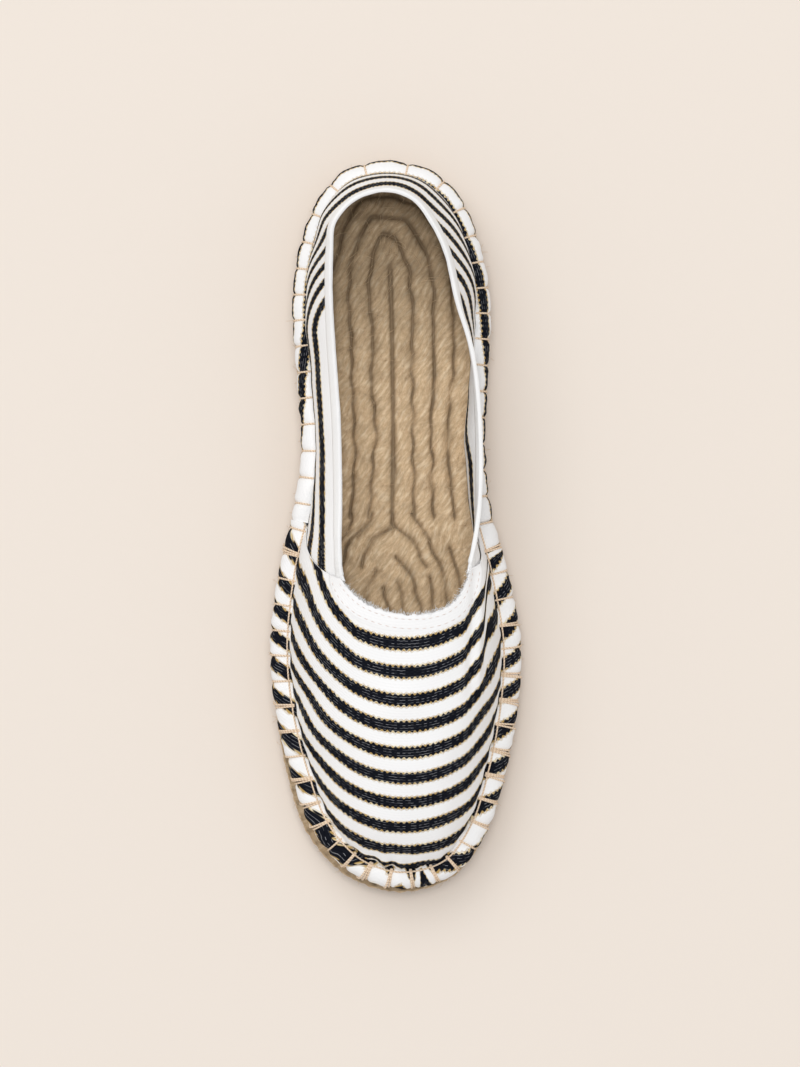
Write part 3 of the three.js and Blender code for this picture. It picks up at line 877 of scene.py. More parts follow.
# How far a stripe bends back towards the heel at a place across: a square and a fourth power
# of that place, and steps near both sides that die away from stripe to stripe
def stripeBend(number, x):
    look = vampStripes
    n = np.maximum(number, 0)
    bend = look["bend"] * x**2 + look["bendEdge"] * x**4
    t = np.clip((-x - 16.7) / 14.6, 0, 1.15)
    bend = bend + 14.2 * np.exp(-0.9 * n) * (0.5 * t + 0.5 * t**4)
    bend = bend + 7.9 * np.exp(-0.25 * n) * smoothStep(19.5, 27.8, x)
    bend = bend + 12.5 * (1 - smoothStep(0.3, 3.6, n)) * smoothStep(26.3, 28.1, x)
    return bend + 2.8 * smoothStep(27.8, 34.0, x)


# A stripe's place ahead of the first: even steps less a square, then closer even steps
def stripePlace(number):
    look = vampStripes
    n = np.minimum(number, look["lastEven"])
    return look["spacing"] * n - look["shrink"] * n**2 + look["close"] * (number - n)


# Stripe number on the vamp: each stripe's middle has its place along the shoe, less its
# bend and a further step back down the sides; Newton's rule finds the number at a point
def vampNumber(points, up):
    look = vampStripes
    spread = look["seenFrom"] / (look["seenFrom"] + look["level"] - points[..., 2])
    x = (points[..., 0] - look["middle"][0]) * spread + look["middle"][0] - look["centre"]
    y = (points[..., 1] - look["middle"][1]) * spread + look["middle"][1]
    way = look["first"] - y + look["sideStep"] * np.exp(-up / look["sideFade"]) * smoothStep(-112, -96, y)
    number = np.clip(way / look["spacing"], -3, 10)
    for _ in range(14):
        value = stripePlace(number) - stripeBend(number, x) - way
        ahead = stripePlace(number + 0.02) - stripeBend(number + 0.02, x) - way
        slope = np.maximum((ahead - value) / 0.02, 4.0)
        number = np.clip(number - value / slope, -5, 16)
    number = number + 0.28 * toeGather(points, up) * waves(points[..., 0], points[..., 1], 7.0, seed=6)
    lens = bell(points[..., 0] + 6.0, 8.0) * bell(up - 3.4, 1.7) * (points[..., 1] < toeFolds["start"])
    return number + 0.42 * lens + 0.5 * toePleat(points, up, 1.5, 3.5)


# One of the cloth's two pieces: columns along the shoe, rows up the roll and the wall, each
# point lifted off the frame's surface, and a second layer behind it
def makeCloth(name, low, high, wallRows, onVamp):
    look = canvasLook
    first, last = stitchNumber(low), stitchNumber(high)
    cells = np.arange(math.floor(first) - 1, math.ceil(last) + 1)
    numbers = (cells[:, None] + 0.5 + np.array(look["perStitch"])[None, :]).reshape(-1)
    numbers = numbers[(numbers > first + 0.03) & (numbers < last - 0.03)]
    if not onVamp:          # a close pair at the back of the heel, where the two sides' stripes meet
        numbers = numbers[np.abs(numbers - stitchCount) > 0.01]
        numbers = np.sort(np.concatenate([numbers, [stitchCount - 0.0004, stitchCount + 0.0004]]))
    numbers = np.concatenate([[first], numbers, [last]])
    shares = shareOfNumber(numbers)
    rollT = np.linspace(0, 1, look["rollRows"] + 1)
    wallT = np.linspace(0, 1, wallRows + 1)[1:]
    wallShare = shares[:, None] + columnLean(shares)[:, None] * wallT[None, :]
    wall, wallLength = wallAt(wallShare, wallT[None, :])
    roll = rollPoint(shares[:, None], rollT[None, :])
    base = np.concatenate([roll, wall], axis=1)
    count, levels = base.shape[:2]
    crease = look["rollRows"]
    normal = gridNormals(base)
    up = wallLength * wallT[None, :]
    down = wallLength - up
    lift = np.concatenate([rollLift(shares[:, None], rollT[None, :]),
                           wallLift(wall, wallShare, up, down, onVamp)], axis=1)
    run = shares * outline["length"]
    ends = np.minimum(run - run[0], run[-1] - run)[:, None]
    if onVamp:
        edge = smoothStep(6.0, 0.5, ends)
        lift[:, crease + 1:] += (0.35 * smoothStep(8.0, 4.0, down) - 0.5) * edge * np.minimum(up / 4, 1)
        thick = look["vampThickness"] - 0.75 * edge + 0 * lift
    else:
        under = smoothStep(look["underlap"] + 1.5, look["underlap"] - 0.5, ends)
        lift[:, :crease + 1] -= 0.85 * under
        lift[:, crease + 1:] -= 0.2 * under
        thick = look["quarterThickness"] - 0.45 * under + 0 * lift
    thick[:, :crease + 1] = look["rollThickness"]
    outer = base + normal * lift[..., None]
    inner = base + normal * (lift - thick)[..., None]
    if onVamp:
        teeth = look["fringe"] * waves(wallShare[:, -1] * 900, 0, 1.3, seed=12)
        rise = unit(outer[:, -1] - outer[:, -2])
        outer[:, -1] += rise * teeth[:, None]
        inner[:, -1] += rise * (teeth * 0.6 - 0.2)[:, None]
    out = (1 - rollT) * 2
    out = np.where(out < 1, out * 10.3, 10.3 + (out - 1) * 4.0)[None, :] + 0 * shares[:, None]
    if onVamp:
        creaseNumber = vampNumber(base[:, crease:crease + 1], np.zeros((count, 1)))
        number = vampNumber(wall, up)
        rollAcross = creaseNumber * stripes["pitch"] + 0.6 * out
        wallAcross = np.concatenate([creaseNumber * stripes["pitch"], number * stripes["pitch"]], axis=1)
        x = base[:, crease:, 0]
        wallAlong = x * (1 + 0.25 * (x / 38) ** 2)
        rollAlong = (out - 0.6 * run[:, None]) / 1.17
    else:
        rollDown = wallLength[:, :1] + out
        creaseAcross = quarterAcross(base[:, crease:crease + 1], shares[:, None], rollDown[:, -1:])
        wallAcross = np.concatenate([creaseAcross, quarterAcross(wall, wallShare, down)], axis=1)
        rollAcross = out + quarterRollStart(roll, shares[:, None])
        wallAlong = run[:, None] + 0 * wallAcross
        rollAlong = run[:, None] + 0 * rollAcross
    onRoll = np.stack([rollAlong, rollAcross], -1)
    onWall = np.stack([wallAlong, wallAcross], -1)
    grids = []
    for part, place in ((onWall, crease), (onRoll, 0)):
        full = np.zeros((count, levels, 2))
        full[:, place:place + part.shape[1]] = part
        grids.append(np.concatenate([full, full[:, ::-1], full[:, :1]], axis=1))
    ring = 2 * levels
    isRoll = np.zeros(ring, bool)
    isRoll[:crease] = True
    isRoll[ring - 1 - crease:] = True
    zone = np.where(isRoll, 1, 0)[None, :] + np.zeros((count - 1, 1), int)
    uv = cornerValues(np.stack(grids), zone).reshape(-1, 2)
    grid = np.concatenate([outer, inner[:, ::-1]], axis=1)
    near = np.arange(levels - 1)
    caps = np.stack([near, near + 1, ring - 2 - near, ring - 1 - near], 1)
    faces = [gridFaces(count, ring, False, True).reshape(-1, 4), caps[:, ::-1], caps + (count - 1) * ring]
    uv = np.concatenate([uv, np.full((2 * caps.size, 2), -8.0)])
    piece = makeMesh(name, grid, faces, uv)
    piece.data.materials.append(canvasMaterial)
    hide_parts("upper")
    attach(piece, "root")
    print(name, "made,", 2 * count * ring, "triangles")


# Stripe coordinate on the quarter: the way down from the top edge, plus a climb towards the
# heel by a smooth step, less a sag of smooth steps on the inner side
def quarterAcross(points, share, down):
    place = points[..., 1]
    outer = np.mod(share, 1.0) > 0.5
    climb = np.where(outer, 5.5 * stripes["pitch"] * smoothStep(66, 112, place),
                     4.5 * stripes["pitch"] * smoothStep(64, 116, place))
    sunk = 5.5 * smoothStep(20, 38, place) * smoothStep(74, 58, place) + 5.0 * smoothStep(2, -9, place)
    sunk = sunk - 2.4 * smoothStep(60, 40, place)
    return down - 11.6 + climb - np.where(outer, 0.0, sunk)


# Where the stripes start on the quarter's roll, charted along each side
quarterRoll = {
    "outer": ((0.0, -16.0), (8.0, -15.0), (16.5, -13.5), (25.0, -11.6), (34.0, -9.5), (44.0, -6.6),
              (50.0, -5.8), (58.0, -3.6), (65.0, -1.4), (70.0, 0.2), (95.0, 1.0), (119.0, 0.7)),
    "inner": ((0.0, -10.6), (10.0, -10.2), (34.0, -9.4), (50.0, -8.9), (57.0, -8.0), (66.0, -5.4),
              (76.0, -4.3), (88.0, -3.2), (97.0, -1.4), (108.0, 0.0), (119.0, 0.7)),
}


# The start read off the chart of its side, in proportion between two rows
def quarterRollStart(points, share):
    outer, inner = np.array(quarterRoll["outer"]), np.array(quarterRoll["inner"])
    place = points[..., 1]
    return np.where(np.mod(share, 1.0) > 0.5, np.interp(place, outer[:, 0], outer[:, 1]),
                    np.interp(place, inner[:, 0], inner[:, 1]))


makeCloth("canvasVamp", innerFoot, outerFoot, canvasLook["vampRows"], True)
makeCloth("canvasQuarter", outerFoot - canvasLook["underlap"] / outline["length"],
          1 + innerFoot + canvasLook["underlap"] / outline["length"], canvasLook["quarterRows"], False)


# A point and outward direction on the wall, at distances under its top edge
def underEdge(share, down):
    share, down = np.broadcast_arrays(share, down)
    _, length = wallAt(share, 1.0)
    fraction = 1 - down / length
    middle, _ = wallAt(share, fraction)
    ahead, _ = wallAt(share + 0.0008, fraction)
    behind, _ = wallAt(share - 0.0008, fraction)
    high, _ = wallAt(share, np.minimum(fraction + 0.01, 1.0))
    low, _ = wallAt(share, np.minimum(fraction + 0.01, 1.0) - 0.02)
    return middle, unit(np.cross(high - low, ahead - behind)), length


# The tape folded over the quarter's top edge: outer leg, round top, inner leg, and the
# same again on its hidden side
def makeTape():
    look = canvasLook
    span = np.linspace(outerTop - 0.004, 1 + innerTop + 0.004, 520)
    legs = np.linspace(look["tapeWidth"], 0.0, 8)[None, :]
    wander = 0.25 * waves(span * 600, 0, 30.0, seed=9)[:, None]
    wide = legs + wander * legs / look["tapeWidth"]
    fromEnd = np.minimum(span - span[0], span[-1] - span)[:, None] * outline["length"]
    tuck = smoothStep(9.0, 2.0, fromEnd)
    wide = wide + 1.2 * tuck
    uneven = 0.04 * waves(span * 600, 0, 9.0, seed=8)[:, None]
    thick = look["tapeThickness"] * (1 - 0.6 * tuck) + uneven
    taper = 0.25 + 0.75 * smoothStep(look["tapeWidth"], look["tapeWidth"] - 1.4, legs)
    middle, normal, _ = underEdge(span[:, None], wide)
    seat = look["tapeSeat"] * (1 - 0.5 * tuck)
    cloth = (look["quarterThickness"] * (1 - 0.6 * tuck))[..., None]
    outLift = (seat + thick * taper)[..., None]
    out = middle + normal * outLift
    inn = middle - normal * (outLift + cloth)
    nearOut = middle + normal * (seat * 0.5)[..., None]
    nearIn = middle - normal * ((seat * 0.5)[..., None] + cloth)
    rise = unit(out[:, -1] - out[:, -2])
    centre = (out[:, -1] + inn[:, -1]) / 2
    half = (out[:, -1] - inn[:, -1]) / 2
    turn = np.linspace(0, math.pi, 11)[1:-1]
    height = (seat + thick) * 1.2
    cap = (centre[:, None] + half[:, None] * np.cos(turn)[None, :, None]
           + (rise * height)[:, None] * np.sin(turn)[None, :, None])
    ring = np.concatenate([out, cap, inn[:, ::-1], nearIn, nearOut[:, ::-1]], axis=1)
    count, width = ring.shape[:2]
    quads = gridFaces(count, width, False, True)
    run = runAlong(ring).mean(0)
    uv = bandUv(span * outline["length"], np.append(run, run[-1] + 1))
    near = np.arange(width // 2 - 1)
    ends = np.stack([near, near + 1, width - 2 - near, width - 1 - near], 1)
    endUv = np.zeros((2 * ends.size, 2))
    faces = [quads.reshape(-1, 4), ends[:, ::-1], ends + (count - 1) * width]
    piece = makeMesh("collarTape", ring, faces, np.concatenate([uv, endUv]))
    piece.data.materials.append(tapeMaterial)
    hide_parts("collar_tape")
    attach(piece, "root")
    print("collarTape made,", 2 * count * width, "triangles")


makeTape()

coil = {
    "rows": 4,              # rows of the plait from the rim to the middle
    "heelEye": 91.0,        # where the middle groove ends at the heel
    "fork": 0.0,            # and where it forks before the forefoot
    "grooveWidth": 0.36,
    "depth": 1.0,           # grooves between the rows
    "crown": 1.6,           # roundness of the rows
    "strand": 2.2,          # width of one strand
    "strandDepth": 0.26,
    "lean": 56.0,           # strands' angle from the line across the shoe
    "across": 180,
    "along": 520,
    "rimGap": 0.3,          # from the canvas wall
    "fibres": 620,          # loose hairs
    "fibreLength": (2.5, 7.0),
    "fibreRadius": 0.065,
}
# grooves of the forefoot's coil, in the shoe's own places: across, along
forefootGrooves = [
    [(0.0, 0.2), (-2.8, -1.2), (-5.6, -2.6), (-8.0, -4.3), (-9.7, -7.1), (-11.1, -10.3), (-12.2, -14.1)],
    [(0.0, 0.2), (2.8, -2.3), (5.2, -4.3), (7.3, -7.5), (8.7, -10.6), (10.8, -13.7)],
    [(0.3, -10.3), (2.1, -12.7), (4.5, -15.8), (5.9, -20.0), (7.3, -23.8), (8.3, -27.6), (8.6, -33.0)],
    [(-4.5, -21.0), (-3.5, -24.5), (-2.8, -28.0), (-2.6, -34.0)],
    [(1.0, -19.3), (2.1, -23.5), (2.8, -28.3), (2.9, -34.0)],
    [(6.1, 4.8), (6.8, 2.6), (8.7, 0.2), (10.1, -2.6)],
    [(10.1, -2.0), (11.8, -6.1), (13.9, -9.9), (15.6, -13.7), (17.2, -19.0), (18.0, -27.0)],
    [(11.8, -17.5), (12.9, -22.4), (13.2, -28.0), (13.2, -34.0)],
    [(18.4, -7.1), (20.5, -12.0), (21.5, -16.5), (22.6, -21.0), (23.0, -30.0)],
    [(-12.0, -1.0), (-15.5, -4.0), (-17.5, -8.5), (-19.0, -14.0), (-19.5, -24.0)],
    [(-7.0, -15.0), (-9.5, -19.5), (-10.5, -25.0), (-10.8, -33.0)],
    [(-15.6, 4.6), (-15.8, 2.2), (-17.0, -1.4), (-19.6, -5.0)],
    [(-8.2, 4.6), (-9.0, 2.3), (-11.0, -0.6), (-13.4, -3.6)],
    [(-1.4, 4.4), (-1.1, 2.3), (0.0, 0.2)],
]


# The rim of the footbed, just under the canvas wall
def rimPoints():
    share = np.linspace(0, 1, 1600, endpoint=False)
    inset = shoe["bareToe"] * stationValue(share, "bare") + rollWidthAt(share) + coil["rimGap"]
    return edgePoint(share, inset, 0.0) * [1, 1, 0]


# Nearest distance from each point to a run of points
def distanceTo(flat, line):
    nearest = np.empty(len(flat))
    for part in np.array_split(np.arange(len(flat)), 60):
        nearest[part] = np.sqrt(((flat[part, None, :] - line[None, :, :]) ** 2).sum(2).min(1))
    return nearest


# Loose fibres: thin curves, each a straight aim plus a random bend with the square of the way
def looseFibres(name, roots, aim, lengths, radius, material):
    local = np.random.default_rng(len(roots))
    steps = np.linspace(0, 1, 6)[None, :, None]
    bend = (local.normal(0, 0.4, roots.shape) * np.array([1.0, 1.0, 0.2]))[:, None]
    paths = roots[:, None] + (aim[:, None] * steps + bend * steps**2) * lengths[:, None, None]
    piece = tubes(name, paths, radius, 3)
    piece.data.materials.append(material)
    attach(piece, "root")


# Footbed: a grid whose lines run from side to side. Rows of the plait lie at even shares of
# the distance from the rim, with the two sides' distances blended by a soft minimum. The
# forefoot's grooves are drawn in as bell curves, and strands lean across all as sines.
def makeFootbed():
    look = coil
    rim = rimPoints()
    front = int(np.argmin(rim[:, 1]))
    back = int(np.argmax(rim[:, 1]))
    rolled = np.roll(np.arange(len(rim)), -back)
    cut = int(np.where(rolled == front)[0][0])
    inner = rim[rolled[:cut + 1]]
    outer = np.vstack([rim[rolled[cut:]], rim[back:back + 1]])[::-1]
    t = np.linspace(0, math.pi, look["along"])
    mixed = 0.35 * (1 - np.cos(t)) / 2 + 0.65 * t / math.pi
    ys = rim[back, 1] + (rim[front, 1] - rim[back, 1]) * np.clip(mixed, 0.0004, 0.9996)
    right = np.interp(-ys, -inner[:, 1], inner[:, 0])
    left = np.interp(-ys, -outer[:, 1], outer[:, 0])
    s = np.linspace(0, 1, look["across"])
    x = right[:, None] + (left - right)[:, None] * s[None, :]
    y = ys[:, None] + 0 * x
    flat = np.stack([x, y], -1).reshape(-1, 2)
    toRight = distanceTo(flat, inner[:, :2]).reshape(x.shape)
    toLeft = distanceTo(flat, outer[:, :2]).reshape(x.shape)
    distance = np.minimum(toRight, toLeft)
    half = np.interp(-np.clip(y, look["fork"], look["heelEye"]), -ys, (right - left) / 2)
    blunt = 0.6 + 3.0 * smoothStep(30.0, 0.0, y)
    soft = -blunt * np.log(np.exp(-toRight / blunt) + np.exp(-toLeft / blunt)) + 0.25 * blunt
    wobble = 0.55 * waves(x, y, 30.0, seed=21) + 0.38 * waves(x, y, 9.0, seed=22)
    phase = look["rows"] * (soft + wobble * smoothStep(0, 6, distance)) / half
    row = np.floor(phase)
    fromLine = np.abs(phase - np.round(phase)) * half / look["rows"]
    drawn = np.full(x.shape, 50.0)
    bent = np.stack([x + 0.35 * waves(x, y, 11.0, seed=25), y], -1).reshape(-1, 2)
    for line in forefootGrooves:
        points = np.array(line)
        run = runAlong(points)
        fine = np.arange(0, run[-1], 0.25)
        dense = np.stack([np.interp(fine, run, points[:, 0]), np.interp(fine, run, points[:, 1])], -1)
        drawn = np.minimum(drawn, distanceTo(bent, dense).reshape(x.shape))
    byHand = smoothStep(4.0, -4.0, y)
    away = np.minimum(fromLine + 7.0 * byHand, drawn)
    groove = bell(away, look["grooveWidth"]) * (0.75 + 0.4 * waves(x, y, 14.0, seed=26))
    middle = bell(toRight - toLeft, 1.3) * smoothStep(look["fork"] - 2, look["fork"] + 2, y)
    middle = middle * smoothStep(look["heelEye"] + 1, look["heelEye"] - 3, y)
    groove = np.clip(np.maximum(groove, 0.9 * middle), 0, 1)
    crown = 1 - np.clip(1 - away / 3.3, 0, 1) ** 2.4
    angle = math.radians(look["lean"])
    scatter = np.sin(row * 12.9898) * 1.7
    acrossStrand = -x * math.sin(angle) + y * math.cos(angle) + scatter + 0.7 * waves(x, y, 16.0, seed=27)
    alongStrand = x * math.cos(angle) + y * math.sin(angle)
    strand = np.abs(np.sin(math.pi * acrossStrand / look["strand"])) ** 0.5
    height = -look["depth"] * groove + look["crown"] * (crown - 1)
    relief = look["strandDepth"] * (0.7 + 0.4 * waves(x, y, 13.0, seed=28))
    height += relief * (strand - 0.7) * np.clip(crown * 1.4, 0, 1)
    height += 0.22 * waves(x, y, 4.2, seed=23) * crown + 0.35 * waves(x, y, 34.0, seed=24)
    edge = smoothStep(0.0, 2.2, distance)
    points = np.stack([x, y, footbed - 0.3 + height * edge], -1)
    points[..., 2] += springAt(points)
    bottom = points[:, [0, -1]].transpose(1, 0, 2).reshape(-1, 3)
    bottom[:, 2] = footbed - 4.5 + springAt(bottom)
    rows, columns = x.shape
    top = gridFaces(rows, columns, False, False)
    step = np.arange(rows - 1)
    rightTop = step * columns
    leftTop = rightTop + columns - 1
    rightLow = rows * columns + step
    leftLow = rightLow + rows
    strip = np.concatenate([np.stack([rightLow, rightLow + 1, leftLow + 1, leftLow], 1),
                            np.stack([rightTop, rightTop + columns, rightLow + 1, rightLow], 1),
                            np.stack([leftTop + columns, leftTop, leftLow, leftLow + 1], 1)])
    across = np.arange(columns)
    heelEnd = np.concatenate([across[::-1], [rightLow[0], leftLow[0]]])[None]
    toeEnd = np.concatenate([across + (rows - 1) * columns, [leftLow[-1] + 1, rightLow[-1] + 1]])[None]
    corners = np.stack([acrossStrand, alongStrand], -1).reshape(-1, 2)
    uv = np.concatenate([corners[top.reshape(-1)], np.zeros((strip.size + 2 * heelEnd.size, 2))])
    # painted shade: darker in the grooves, on the cords' sloping sides and between strands, and towards the
    # heel end as the heel wall's painted shadow; the slow waves add uneven tone of the jute. It is stored
    # as the groove value.
    shade = np.clip(groove + 0.40 * (1 - crown) + 0.32 * (1 - strand) + 0.52 * smoothStep(45, 98, y)
                    + 0.09 * waves(x, y, 7.0, seed=29), 0, 1)
    value = np.concatenate([shade.reshape(-1), np.zeros(2 * rows)])
    piece = makeMesh("juteFootbed", np.concatenate([points.reshape(-1, 3), bottom]),
                     [top.reshape(-1, 4), strip, heelEnd, toeEnd], uv, {"groove": value})
    piece.data.materials.append(footbedMaterial)
    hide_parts("jute_sole")
    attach(piece, "root")
    print("footbed made,", 2 * rows * columns, "triangles")
    local = np.random.default_rng(41)
    count = look["fibres"]
    i = local.integers(14, rows - 14, count)
    j = local.integers(8, columns - 8, count)
    turn = angle + local.normal(0, 0.55, count)
    aim = np.stack([np.cos(turn), np.sin(turn), local.uniform(0.02, 0.10, count)], 1)
    lengths = local.uniform(*look["fibreLength"], count)
    looseFibres("footbedFibres", points[i, j], aim, lengths, look["fibreRadius"], footbedMaterial)


makeFootbed()

plait = {
    "ribs": 2,
    "depth": 0.9,
    "strand": 5.2,
    "strandDepth": 0.55,
    "slant": 4.0,           # how far a strand leans across one rib
    "loop": 1100,
    "levels": 30,
    "fibres": 420,          # loose hairs
    "fibreLength": (0.8, 2.2),
    "fibreRadius": 0.06,
}


# The plait's side: a closed band whose outer face carries ribs with leaning strands, both
# powers of sines, turned over under the canvas and back inside
def makePlait():
    share = np.arange(plait["loop"]) / plait["loop"]
    low, high = lipTop + shoe["seat"], hemLevel - shoe["seat"]
    foot = shoe["rubberInset"] + shoe["lipWall"] + shoe["seat"]
    column = share[:, None]
    start = edgePoint(column, np.array([[foot + 10, foot, foot]]),
                      np.array([[shoe["rubber"] + 0.3, shoe["rubber"] + 0.3, low]]))
    t = np.linspace(0.02, 0.98, plait["levels"])[None, :]
    phase = t * plait["ribs"]
    rib = np.abs(np.sin(math.pi * phase))
    row = np.floor(phase)
    run = column * outline["length"]
    sign = np.where(np.mod(row, 2) < 1, 1.0, -1.0)
    lean = (run + sign * plait["slant"] * (phase - row - 0.5)) / plait["strand"]
    strand = np.abs(np.sin(math.pi * lean)) ** 0.6
    inset = plait["depth"] * (1 - rib**0.6) + plait["strandDepth"] * (1 - strand) * rib**0.5
    inset = inset + 0.12 * waves(run, t * 8, 3.0, seed=31)
    side = edgePoint(column, inset, low + (high - low) * t)
    cover = rollPoint(column, np.linspace(0.0, 1.0, 8)[None, :], shoe["canvas"] + shoe["seat"] + 0.5)
    bare = shoe["bareToe"] * stationValue(share, "bare")
    ledge = edgePoint(column, bare[:, None] + shoe["canvas"] + shoe["seat"] + shoe["hemTuck"] + 0.1, high)
    width = (bare + rollWidthAt(share))[:, None]
    back = edgePoint(column, np.concatenate([width + 1.5, width + 1.5], 1),
                     np.array([[footbed - 2.5, shoe["rubber"] + 3.0]]))
    ring = np.concatenate([start, side, ledge, cover, back], axis=1)
    count, width = ring.shape[:2]
    faces = [gridFaces(count, width, True, True).reshape(-1, 4)]
    first = start.shape[1]
    last = first + plait["levels"]
    # painted shade: the groove value darkens the grooves between the ribs and between the strands
    groove = np.zeros((count, width))
    groove[:, first:last] = np.clip((1 - rib) * 0.8 + (1 - strand) * 0.5, 0, 1)
    across = np.concatenate([np.zeros(first), t[0] * (high - low), np.full(width - last + 1, high - low)])
    uv = bandUv(np.append(share, 1.0) * outline["length"], across)
    piece = makeMesh("jutePlaitSide", ring, faces, uv, {"groove": groove})
    piece.data.materials.append(plaitMaterial)
    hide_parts("jute_sole")
    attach(piece, "root")
    print("plait made", count * width)
    local = np.random.default_rng(43)
    fibres = plait["fibres"]
    some = local.uniform(0, 1, fibres)
    root = edgePoint(some, 0.5, low + (high - low) * local.uniform(0.1, 0.9, fibres))
    aim = np.zeros((fibres, 3))
    aim[:, :2] = -0.3 * inwardAt(some)[:, :2] + local.normal(0, 0.5, (fibres, 2))
    aim[:, 2] = local.normal(0.1, 0.3, fibres)
    lengths = local.uniform(*plait["fibreLength"], fibres)
    looseFibres("plaitFibres", root, aim, lengths, plait["fibreRadius"], plaitMaterial)


makePlait()

tread = {
    "loop": 640,
    "rings": 34,
    "pitch": 5.0,
    "depth": 0.5,
    "swing": 1.6,           # wave of the grooves and its length
    "swingLength": 12.0,
    "spine": ((0.16, -4.5), (0.4, -2.0), (0.8, 0.5)),   # middle line: along, across
}


# The rubber sheet: rings from the middle of the underside out over the bevel and lip and
# back over the hidden top, closed by lacing the two narrow slots in the middle
def makeOutsole():
    share = np.arange(tread["loop"]) / tread["loop"]
    column = share[:, None]
    inset = shoe["rubberInset"]
    rim = edgePoint(share, inset + shoe["rubberBevel"], 0.0)
    spineAlong, spineAcross = np.array(tread["spine"]).T
    along = np.clip(alongOf(rim), spineAlong[0], spineAlong[-1])
    spine = np.stack([np.interp(along, spineAlong, spineAcross),
                      (0.5 - along) * shoe["length"], np.zeros_like(along)], -1)
    middle = spine + unit((rim - spine) * [1, 1, 0]) * 0.6
    t = np.linspace(0, 1, tread["rings"])[None, :, None]
    under = middle[:, None] * (1 - t) + (rim * [1, 1, 0])[:, None] * t
    swing = tread["swing"] * np.sin(under[..., 0] * 2 * math.pi / tread["swingLength"])
    wavePhase = (under[..., 1] + swing) / tread["pitch"]
    cut = smoothStep(0.55, 0.8, np.abs(np.sin(math.pi * wavePhase)))
    edge = smoothStep(1.0, 0.93, t[..., 0])
    under[..., 2] = tread["depth"] * (1 - cut) * edge + springAt(under)
    lipNoise = 0.25 * waves(share * 600, 0, 18.0, seed=41)
    wall = shoe["lipWall"]
    # the lip's profile: distance in from its outer face, level, share of the top edge's noise
    lip = np.array([(0.35, 0.3, 0), (0.0, 0.9, 0), (0.0, 2.6, 0), (0.0, 4.4, 0), (0.05, lipTop - 0.4, 1),
                    (0.4, lipTop, 1), (wall - 0.2, lipTop - 0.05, 1), (wall, lipTop - 0.6, 0),
                    (wall, shoe["rubber"], 0)])
    side = edgePoint(column, inset + lip[None, :, 0], lip[:, 1] + lipNoise[:, None] * lip[:, 2])
    top = middle[:, None].copy()
    top[..., 2] = shoe["rubber"] + springAt(top)
    ring = np.concatenate([under, side, top], axis=1)
    count, width = ring.shape[:2]
    quads = gridFaces(count, width, True, False)
    right = np.arange(count // 2)
    left = count - 1 - right
    keep = left - right >= 2
    lacing = np.stack([right, np.minimum(right + 1, count - 1), left - 1, left], 1)[keep]
    lacing = lacing[lacing[:, 2] - lacing[:, 1] >= 1]
    faces = [quads.reshape(-1, 4), lacing * width, (lacing * width + width - 1)[:, ::-1]]
    piece = makeMesh("rubberOutsole", ring, faces)
    piece.data.materials.append(rubberMaterial)
    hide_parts("outsole")
    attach(piece, "root")
    print("outsole made", count * width)


makeOutsole()


# Blanket stitches: one to three bars that follow the lifted roll from its inner line to under
# the hem, sinking in by smooth steps at both ends, and on the vamp a thread from stitch to
# stitch along the inner line, drawn down at each by a bell curve
def makeStitches():
    local = np.random.default_rng(7)
    share = np.mod(shareOfNumber(np.arange(stitchCount) + 0.5), 1.0)
    onVamp = (share > innerFoot) & (share < outerFoot)
    toeward = np.where(share > 0.5, -1.0, 1.0)
    t = np.linspace(1.0, -0.02, 26)[None, :]
    onRoll = np.clip(t, 0, 1)
    drawn = local.random(len(share))
    inner = share < 0.5
    second = onVamp & (drawn < np.where(inner, 0.75, 0.4))
    third = onVamp & (drawn < np.where(inner, 0.3, 0.1))
    bars = 1 + second + third
    paths = []
    for strand in range(3):
        keep = bars > strand
        some = share[keep][:, None]
        lean = (local.uniform(-0.3, 1.6, keep.sum()) * onVamp[keep] - 0.2)[:, None] * toeward[keep][:, None]
        gap = strand * (0.45 + 1.0 * (1 - t))
        s = some + (gap - lean * (1 - t)) / outline["length"]
        base = rollPoint(s, onRoll)
        outward = unit(rollPoint(s, onRoll, -1.0) - base)
        lift = rollLift(s, onRoll) + stitches["radius"] * 0.75
        dive = stitches["dive"] * (1 - smoothStep(0.0, 0.06, t) * smoothStep(1.0, 0.955, t))
        paths.append(base + outward * (lift - dive)[..., None])
    sewn = tubes("blanketStitches", np.concatenate(paths), stitches["radius"], 8)
    sewn.data.materials.append(threadMaterial)
    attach(sewn, "root")
    # the thread along the inner line, drawn down at each stitch
    low, high = stitchNumber(innerFoot) + 0.1, stitchNumber(outerFoot) - 0.1
    number = np.linspace(low, high, 900)
    run = shareOfNumber(number)
    phase = np.abs(np.mod(number, 1.0) - 0.5)
    side = stitches["innerLine"]
    base = rollPoint(run, side)
    outward = unit(rollPoint(run, side, -1.0) - base)
    lift = rollLift(run, side) + 0.25 - 0.7 * bell(phase, 0.05)
    line = tubes("innerLineThread", (base + outward * lift[:, None])[None], stitches["radius"] * 0.85, 8)
    line.data.materials.append(threadMaterial)
    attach(line, "root")
    print("stitches made:", len(share))


makeStitches()


hem = {
    # name of each row, its distance under the edge and its spacing
    "rows": (("throatStitchesNear", 1.7, 2.3), ("throatStitchesFar", 4.9, 2.5)),
    "share": 0.66,          # length of a stitch over the spacing
    "radius": 0.09,
}


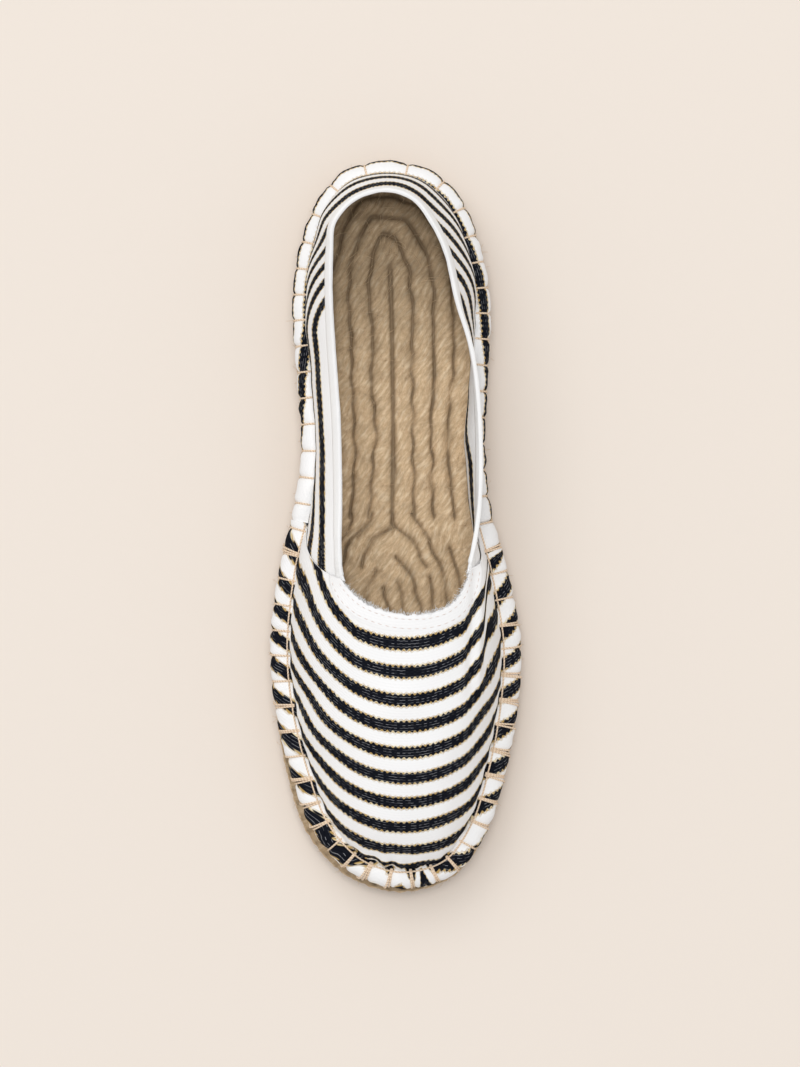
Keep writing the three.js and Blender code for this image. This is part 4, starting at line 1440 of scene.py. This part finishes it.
# Two rows of short stitches along the throat's hem: each a cosine's arch that follows the cloth
def makeHemStitches():
    for name, down, spacing in hem["rows"]:
        dense = np.linspace(innerTop + 0.004, outerTop - 0.004, 1500)
        fine, _, _ = underEdge(dense, down)
        run = runAlong(fine)
        count = int(run[-1] / spacing)
        centre = (np.arange(count) + 0.5) * spacing
        offsets = np.linspace(-0.5, 0.5, 7) * spacing * hem["share"]
        at = np.interp(centre[:, None] + offsets[None, :], run, dense)
        point, normal, length = underEdge(at, down)
        arch = np.cos(np.linspace(-1, 1, 7) * math.pi / 2)[None, :]
        lift = wallLift(point, at, length - down, down, True) - 0.12 + 0.2 * arch
        piece = tubes(name, point + normal * lift[..., None], hem["radius"], 6)
        piece.data.materials.append(hemThreadMaterial)
        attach(piece, "root")
    print("hem stitches made")


makeHemStitches()


fringe = {
    "ends": 620,
    "length": (0.5, 1.1),   # least and greatest
    "radius": 0.08,
}


# Short cotton ends along the throat's raw edge, each the way up the wall plus a random lean
def makeFringe():
    local = np.random.default_rng(47)
    share = local.uniform(innerTop + 0.006, outerTop - 0.006, fringe["ends"])
    point, normal, _ = underEdge(share, 0.3)
    lower, _, _ = underEdge(share, 1.3)
    aim = unit(point - lower) + local.normal(0, 0.35, (fringe["ends"], 3))
    root = point + normal * local.uniform(0.5, 1.2, (fringe["ends"], 1))
    lengths = local.uniform(*fringe["length"], fringe["ends"])
    looseFibres("throatFringe", root, aim, lengths, fringe["radius"], tapeMaterial)


makeFringe()

view = {
    "centre": (1.39, -2.09),   # the picture's middle on the shoe
    "plane": 20.0,             # level at which the picture is to scale
    "distance": 2000.0,
    "frameHeight": 370.8,
    "sensor": 36.0,
}


# The camera straight above: lens over sensor equals distance over the frame's height
def makeCamera():
    data = bpy.data.cameras.new("camera")
    data.sensor_fit = "VERTICAL"
    data.sensor_height = view["sensor"]
    data.lens = view["sensor"] * view["distance"] / view["frameHeight"]
    data.clip_end = 20
    camera = bpy.data.objects.new("camera", data)
    camera.location = Vector((*view["centre"], view["plane"] + view["distance"])) * mm
    bpy.context.scene.collection.objects.link(camera)
    bpy.context.scene.camera = camera


floor = {
    "size": 4000.0,
    "color": (0.803, 0.731, 0.662, 1),
}


# The floor: one flat matt sheet
def makeFloor():
    size = floor["size"]
    points = np.array([[-size, -size, 0], [size, -size, 0], [size, size, 0], [-size, size, 0]])
    ground = makeMesh("floor", points, [np.array([[0, 1, 2, 3]])], smooth=False)
    material, _, shader = startMaterial("paleFloor", 0.9)
    shader.inputs["Base Color"].default_value = floor["color"]
    shader.inputs["Specular IOR Level"].default_value = 0.0
    ground.data.materials.append(material)


lights = {                  # in metres and watts, all aimed at the shoe
    "topLight": {"place": (0.0, 0.3, 4.0), "size": 1.2, "power": 56},
    "keyLight": {"place": (-1.0, 1.7, 3.4), "size": 3.0, "power": 42},
}
sky = {
    "color": (1.0, 0.99, 0.98, 1),
    "strength": 0.54,
}


# An even sky and disc lights, each turned so that it faces the origin
def makeLights():
    world = bpy.data.worlds.new("studio")
    world.use_nodes = True
    world.node_tree.nodes["Background"].inputs[0].default_value = sky["color"]
    world.node_tree.nodes["Background"].inputs[1].default_value = sky["strength"]
    bpy.context.scene.world = world
    for name, look in lights.items():
        data = bpy.data.lights.new(name, "AREA")
        data.shape = "DISK"
        data.size = look["size"]
        data.energy = look["power"]
        light = bpy.data.objects.new(name, data)
        light.location = look["place"]
        light.rotation_euler = (Vector() - Vector(look["place"])).to_track_quat("-Z", "Y").to_euler()
        bpy.context.scene.collection.objects.link(light)


makeCamera()
makeFloor()
makeLights()
bpy.context.scene.view_settings.view_transform = "Standard"

print("scene made")
